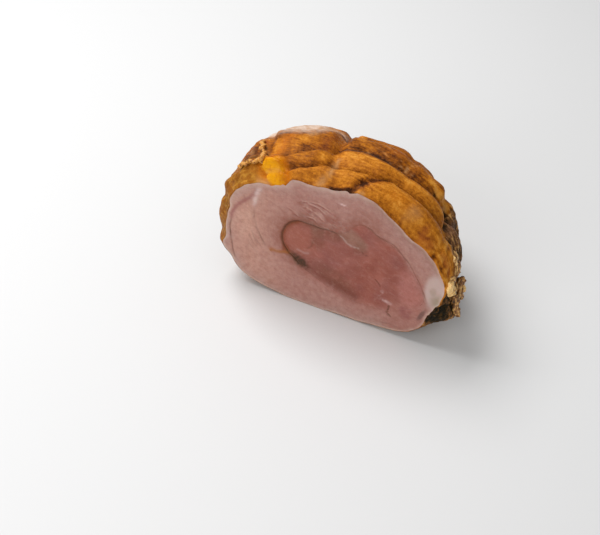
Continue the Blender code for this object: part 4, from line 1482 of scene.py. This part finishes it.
class Recipe:
    """A material under construction."""

    def __init__(self, name):
        self.material = bpy.data.materials.new(name)
        self.material.use_nodes = True
        self.tree = self.material.node_tree
        self.shader = self.tree.nodes["Principled BSDF"]
        self.place = self.add("ShaderNodeTexCoord").outputs["Object"]

    def add(self, kind, **settings):
        node = self.tree.nodes.new(kind)
        for setting, value in settings.items():
            setattr(node, setting, value)
        return node

    def join(self, source, socket):
        """Links a node's result to a socket, or sets the socket to a plain value."""
        if isinstance(source, bpy.types.NodeSocket):
            self.tree.links.new(source, socket)
        else:
            socket.default_value = source

    def painted(self, name):
        """A number that was painted on the mesh."""
        return self.add("ShaderNodeAttribute", attribute_name=name).outputs["Fac"]

    def math(self, operation, first, second):
        node = self.add("ShaderNodeMath", operation=operation)
        self.join(first, node.inputs[0])
        self.join(second, node.inputs[1])
        return node.outputs[0]

    def noise(self, size, detail=3.0, stretch=(1, 1, 1), turn=0.0, place=None):
        """Noise from 0 to 1, in patches of a size in millimetres, which may be drawn out and turned."""
        drawn = self.add("ShaderNodeMapping", vector_type="TEXTURE")
        self.join(place or self.place, drawn.inputs["Vector"])
        drawn.inputs["Rotation"].default_value = (0, math.radians(turn), 0)
        drawn.inputs["Scale"].default_value = [part * size * MM for part in stretch]
        node = self.add("ShaderNodeTexNoise")
        self.join(drawn.outputs[0], node.inputs["Vector"])
        node.inputs["Scale"].default_value = 1.0
        node.inputs["Detail"].default_value = detail
        return node.outputs["Fac"]

    def spread(self, value, low, high, to_low=0.0, to_high=1.0):
        """Takes the range from low to high softly to another one."""
        node = self.add("ShaderNodeMapRange", interpolation_type="SMOOTHSTEP")
        self.join(value, node.inputs["Value"])
        for name, amount in zip(("From Min", "From Max", "To Min", "To Max"), (low, high, to_low, to_high)):
            node.inputs[name].default_value = amount
        return node.outputs["Result"]

    def ramp(self, value, stops):
        """The colour that a row of stops gives for a value."""
        node = self.add("ShaderNodeValToRGB")
        self.join(value, node.inputs["Fac"])
        points = node.color_ramp.elements
        while len(points) < len(stops):
            points.new(1.0)
        for point, (position, shade) in zip(points, stops):
            point.position, point.color = position, shade
        return node.outputs["Color"]

    def blend(self, amount, first, second):
        """From the first shade to the second one, by an amount from 0 to 1."""
        node = self.add("ShaderNodeMix", data_type="RGBA")
        self.join(amount, node.inputs["Factor"])
        self.join(first, node.inputs["A"])
        self.join(second, node.inputs["B"])
        return node.outputs["Result"]

    def cover(self, look, name, shade, amount=1.0):
        """Covers a look with another shade where a painted number says so."""
        return self.blend(self.math("MULTIPLY", self.painted(name), amount), look, shade)

    def covers(self, look, rows):
        """Several covers in turn, each with its painted number, screen colour and amount."""
        for name, shade, amount in rows:
            look = self.cover(look, name, colour(*shade), amount)
        return look

    def tint(self, look, grain, low, high, amount, shade):
        """Tints a look where a grain runs from low to high, by at most an amount."""
        return self.blend(self.spread(grain, low, high, 0.0, amount), look, shade)

    def fade(self, amount, first, second):
        """From the first number to the second one, by an amount from 0 to 1."""
        kept = self.math("MULTIPLY", first, self.math("SUBTRACT", 1.0, amount))
        return self.math("ADD", kept, self.math("MULTIPLY", second, amount))

    def bump(self, height, distance, under=None):
        """Fine grain that only the light sees, as high as distance in millimetres."""
        node = self.add("ShaderNodeBump")
        node.inputs["Strength"].default_value = 1.0
        node.inputs["Distance"].default_value = distance * MM
        self.join(height, node.inputs["Height"])
        if under is not None:
            self.join(under, node.inputs["Normal"])
        return node.outputs["Normal"]

    def finish(self, base, roughness, normal, **constants):
        """Joins everything to the shader and sets its constants. A name's spaces are underscores."""
        self.join(base, self.shader.inputs["Base Color"])
        self.join(roughness, self.shader.inputs["Roughness"])
        self.join(normal, self.shader.inputs["Normal"])
        for name, value in constants.items():
            self.shader.inputs[name.replace("_", " ")].default_value = value
        return self.material


# %% [markdown]
# ### Browned crust
# A ramp from dark groove to golden ridge does most of the work. It is read through the painted
# tone, shaken by two noises, so that no band of colour has a clean edge. Strands run round the
# roast, read from painted places so that they follow the skin, and they fade out on the far dome,
# where they would close into a star. The special places are mixed over it. The torn side has a ramp
# of its own. Only the set fat is glossy.

# %% Crust material
CRUST_STOPS = (
    (0.00, colour(58, 25, 1)),
    (0.18, colour(104, 53, 8)),
    (0.42, colour(151, 85, 14)),
    (0.70, colour(189, 116, 28)),
    (1.00, colour(216, 147, 56)),
)
TORN_STOPS = (
    (0.00, colour(20, 16, 5)),
    (0.28, colour(54, 38, 12)),
    (0.48, colour(98, 64, 28)),
    (0.66, colour(146, 98, 54)),
    (0.84, colour(210, 160, 92)),
    (1.00, colour(246, 204, 134)),
)
YELLOW_FAT, ORANGE_FAT = colour(226, 152, 6), colour(180, 98, 4)
GOLDEN, GOLDEN_DARK, SPECK = colour(190, 136, 50), colour(128, 74, 14), colour(86, 40, 4)
UNBROWNED, UNBROWNED_TAN = colour(210, 186, 168), colour(186, 146, 114)
PURPLE, PURPLE_DARK = colour(138, 100, 78), colour(84, 56, 40)
REDDISH, REDDISH_PALE = colour(136, 60, 24), colour(168, 90, 44)
DRIED_BEIGE, DRIED_BEIGE_DEEP = colour(210, 164, 110), colour(186, 136, 86)


STRANDS_END, STRANDS_FADE = 108, 24


def shaken(recipe, value, coarse, fine):
    """A number made uneven by two noises, so that its colours have no clean edge."""
    value = recipe.math("ADD", value, recipe.spread(recipe.noise(2.2, 4), 0.25, 0.75, -coarse, coarse))
    return recipe.math("ADD", value, recipe.spread(recipe.noise(0.7, 3), 0.25, 0.75, -fine, fine))


def browned_look(recipe):
    """The plain browned crust, and the strands in it that run round the roast."""
    net_place = recipe.add("ShaderNodeCombineXYZ")
    recipe.join(recipe.math("MULTIPLY", recipe.painted("around"), MM), net_place.inputs["X"])
    recipe.join(recipe.math("MULTIPLY", recipe.painted("behind"), MM), net_place.inputs["Y"])
    strands = recipe.noise(1.5, 4, stretch=(4.5, 1, 1), place=net_place.outputs[0])
    far_end = recipe.spread(recipe.painted("behind"), STRANDS_END - STRANDS_FADE, STRANDS_END)
    strands = recipe.fade(far_end, strands, recipe.noise(2.0, 4))
    tone = recipe.math("ADD", recipe.painted("tone"), recipe.spread(strands, 0.3, 0.7, -0.13, 0.13))
    look = recipe.ramp(shaken(recipe, tone, 0.12, 0.08), CRUST_STOPS)
    specks = recipe.spread(recipe.noise(1.1, 3), 0.60, 0.70, 0.0, 0.35)
    return recipe.blend(specks, look, SPECK), strands


def fat_and_beige(recipe, look, fine):
    """Yellow and orange set fat, the orange partly painted shade in its creases, and dried beige strokes
    with one painted glint.
    """
    fat = recipe.blend(recipe.painted("orange_fat_and_shade"), YELLOW_FAT, ORANGE_FAT)
    fat = recipe.tint(fat, recipe.noise(4.0, 3), 0.50, 0.70, 0.5, ORANGE_FAT)
    look = recipe.cover(look, "yellow", fat, 0.93)
    return recipe.cover(look, "beige", recipe.blend(fine, DRIED_BEIGE, DRIED_BEIGE_DEEP), 0.9)


def crust_material():
    recipe = Recipe("browned crust")
    look, strands = browned_look(recipe)
    fine = recipe.noise(1.4, 4)
    golden = recipe.tint(GOLDEN, strands, 0.36, 0.62, 1.0, GOLDEN_DARK)
    golden = recipe.tint(golden, recipe.noise(4.0, 4), 0.42, 0.66, 1.0, GOLDEN_DARK)
    look = recipe.cover(look, "golden", golden, 0.70)
    look = recipe.cover(look, "red", recipe.blend(fine, REDDISH, REDDISH_PALE), 0.9)
    torn = recipe.math("ADD", recipe.painted("torn"), recipe.spread(strands, 0.3, 0.7, -0.20, 0.20))
    look = recipe.cover(look, "olive", recipe.ramp(shaken(recipe, torn, 0.12, 0.12), TORN_STOPS))
    look = recipe.cover(look, "purple", recipe.tint(PURPLE, fine, 0.42, 0.60, 1.0, PURPLE_DARK), 0.8)
    look = fat_and_beige(recipe, look, fine)
    unbrowned = recipe.tint(UNBROWNED, recipe.noise(7.0, 4), 0.40, 0.66, 1.0, UNBROWNED_TAN)
    unbrowned = recipe.tint(unbrowned, strands, 0.45, 0.65, 0.35, UNBROWNED_TAN)
    look = recipe.cover(look, "pale", unbrowned)
    roughness = recipe.spread(recipe.noise(1.8, 3), 0.3, 0.7, 0.40, 0.62)
    gloss = recipe.math("MULTIPLY", recipe.painted("yellow"), 0.26)
    roughness = recipe.math("SUBTRACT", roughness, gloss)
    normal = recipe.bump(strands, 0.30)
    normal = recipe.bump(recipe.noise(0.9, 4), 0.40, under=normal)
    normal = recipe.bump(recipe.noise(2.6, 4), 0.6, under=normal)
    return recipe.finish(look, roughness, normal, Subsurface_Weight=0.0, Specular_IOR_Level=0.08)


def dress(piece, material):
    """Gives a piece its one material."""
    piece.data.materials.clear()
    piece.data.materials.append(material)
    print(piece.name, "is finished as", material.name)


dress(crust, crust_material())

# %% [markdown]
# ### Cut meat
# Roast veal is pale mauve-pink outside and rosy brown within. Its cut is damp, lets a little light
# in and shows its fibre bundles as faint streaks and specks. Lines and patches come from the painted
# numbers, and the grain from noise. Each shade is one row of a table: the painted number that says
# where, the colour and the amount. Both rolls share the recipe, and the inner one adds the browned
# look of the crust on its far cap.

# %% Shades
OUTER_MEAT, INNER_MEAT, INNER_DARK = colour(176, 130, 119), colour(170, 101, 87), colour(142, 76, 62)
FLAKE_RED, TENDON, BRIGHT = colour(140, 80, 66), colour(206, 164, 150), colour(224, 190, 186)
FAT_WHITE, FAT_GREY, DARK_SEAM = colour(198, 174, 166), colour(156, 141, 120), colour(96, 56, 32)
LOWER_SHADE = ("lower", (168, 114, 102), 0.8)
OUTER_SHADES = (
    ("pale", (190, 144, 128), 1.0),
    ("skin", (178, 143, 133), 0.8),
    LOWER_SHADE,
    ("near", (150, 98, 84), 0.75),
    ("lobe", (206, 160, 142), 0.6),
)
INNER_SHADES = (
    ("dusky", (136, 84, 80), 0.55),
    ("round", (162, 95, 78), 0.75),
    # Painted shadow.
    ("deep", (108, 50, 36), 0.8),
    ("grey", (150, 110, 94), 0.85),
    LOWER_SHADE,
)
STAINS_AND_SHADE = (
    ("pink", (186, 122, 113), 0.6),
    # Umber stains, with painted shade under the fold's lip and a painted shadow at the inner roll's lower
    # left.
    ("umber_and_shade", (100, 62, 42), 0.5),
    ("scorched", (120, 76, 50), 0.5),
)
# The flakes' paler parts are painted highlights, and their torn lines painted shade.
FLAKES = (
    ("flaky", (140, 80, 66), 0.75),
    ("flake_highlight", (206, 164, 150), 0.50),
    # A rosy patch, and painted shade along the upper wrap.
    ("rosy", (144, 82, 78), 0.7),
)
LINES_AND_SPOTS = (
    # Pale flecks, and a painted highlight along the white patch.
    ("pale_flecks_and_highlight", (224, 190, 186), 0.8),
    ("toasted", (124, 56, 18), 0.8),
    ("flap", (156, 92, 42), 0.8),
    ("vein", (84, 60, 58), 0.8),
    ("herb", (58, 40, 18), 0.85),
    ("dark", (96, 56, 32), 0.85),
    ("rim", (214, 184, 168), 0.58),
)


# %% Meat material
def fibre_tints(recipe, look, streaks, grain):
    """Faint specks, blots, streaks and rows of fibres."""
    blots = recipe.noise(3.6, 2)
    upright = recipe.noise(1.6, 3, stretch=(1, 1, 6), turn=-4)
    look = recipe.tint(look, recipe.painted("fleck"), 0.2, 0.9, 0.20, FLAKE_RED)
    look = recipe.tint(look, blots, 0.46, 0.68, 0.20, FLAKE_RED)
    look = recipe.tint(look, blots, 0.48, 0.28, 0.10, TENDON)
    look = recipe.tint(look, streaks, 0.50, 0.72, 0.16, FLAKE_RED)
    look = recipe.tint(look, streaks, 0.46, 0.28, 0.07, TENDON)
    rows = recipe.spread(upright, 0.52, 0.70, 0.0, 0.12)
    look = recipe.blend(recipe.math("MULTIPLY", rows, recipe.painted("outside")), look, FLAKE_RED)
    look = recipe.tint(look, grain, 0.44, 0.72, 0.14, DARK_SEAM)
    return recipe.tint(look, grain, 0.46, 0.28, 0.05, BRIGHT)


def meat_material(name, on_inner):
    recipe = Recipe(name)
    streaks = recipe.noise(1.5, 4, stretch=(5, 1, 1.2), turn=26)
    grain = recipe.noise(0.8, 4, stretch=(1.5, 1, 1), turn=26)
    outer = recipe.covers(OUTER_MEAT, OUTER_SHADES)
    inner = recipe.covers(recipe.cover(INNER_DARK, "cloud", INNER_MEAT), INNER_SHADES)
    look = recipe.blend(recipe.painted("outside"), inner, outer)
    look = recipe.covers(look, STAINS_AND_SHADE)
    look = fibre_tints(recipe, look, streaks, grain)
    look = recipe.covers(look, FLAKES)
    fat = recipe.blend(recipe.painted("old_fat"), FAT_WHITE, FAT_GREY)
    look = recipe.cover(look, "fat", fat, 0.85)
    look = recipe.covers(look, LINES_AND_SPOTS)
    if on_inner:
        look = recipe.blend(recipe.painted("browned"), look, browned_look(recipe)[0])
    roughness = recipe.spread(recipe.noise(3.0, 4), 0.3, 0.7, 0.46, 0.62)
    normal = recipe.bump(streaks, 0.08)
    normal = recipe.bump(grain, 0.07, under=normal)
    normal = recipe.bump(recipe.noise(4.0, 3), 0.25, under=normal)
    return recipe.finish(look, roughness, normal, Subsurface_Weight=0.12, Subsurface_Scale=0.002,
                         Specular_IOR_Level=0.22)


dress(outer_cut, meat_material("pale veal", False))
dress(inner_roll, meat_material("rosy veal", True))

# %% [markdown]
# ### Stuck fat
# The knots are beige and slightly waxy. The crags go from beige tops to dark olive hollows, whose
# darkness is painted shade. Two painted numbers say where: how pale each lump is, and how deep a
# point lies in a hollow.

# %% Fat materials
def knot_material():
    recipe = Recipe("stuck fat")
    look = recipe.blend(recipe.noise(1.6, 3), colour(222, 166, 82), colour(181, 115, 39))
    look = recipe.tint(look, recipe.noise(3.0, 3), 0.50, 0.62, 1.0, colour(128, 70, 14))
    normal = recipe.bump(recipe.noise(0.7, 3), 0.3)
    return recipe.finish(look, 0.42, normal, Subsurface_Weight=0.05, Subsurface_Scale=0.002,
                         Specular_IOR_Level=0.3)


def crag_material():
    recipe = Recipe("dried crags")
    strands = recipe.noise(1.6, 4, stretch=(1, 1, 3.5))
    strands = recipe.spread(strands, 0.3, 0.7, -0.20, 0.20)
    shade = recipe.math("ADD", recipe.painted("paleness"), strands)
    # Darker with the depth of a hollow: painted shade.
    shade = recipe.math("ADD", shade, recipe.spread(recipe.painted("hollow_shade"), 0.45, 0.95, 0.04, -0.45))
    look = recipe.ramp(shaken(recipe, shade, 0.10, 0.08), TORN_STOPS)
    normal = recipe.bump(recipe.noise(0.9, 4), 0.45)
    roughness = recipe.spread(recipe.noise(1.5, 3), 0.3, 0.7, 0.28, 0.55)
    return recipe.finish(look, roughness, normal, Subsurface_Weight=0.05, Subsurface_Scale=0.002,
                         Specular_IOR_Level=0.35)


dress(net_knots, knot_material())
dress(fat_crags, crag_material())

# %% [markdown]
# ## Tie the pieces to the frame
# Everything rides on the one body. The crust and the cut face stand for the outer roll's solid, and
# the inner roll's mesh for the inner one's.

# %% Ride and replace
for piece, slot_name in ((crust, "browned_crust"), (outer_cut, "browned_crust"),
                         (net_knots, "browned_crust"), (fat_crags, "browned_crust"),
                         (inner_roll, "roast_veal")):
    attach(piece, "root")
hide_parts("outer_roll")
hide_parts("outer_roll")
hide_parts("inner_roll")
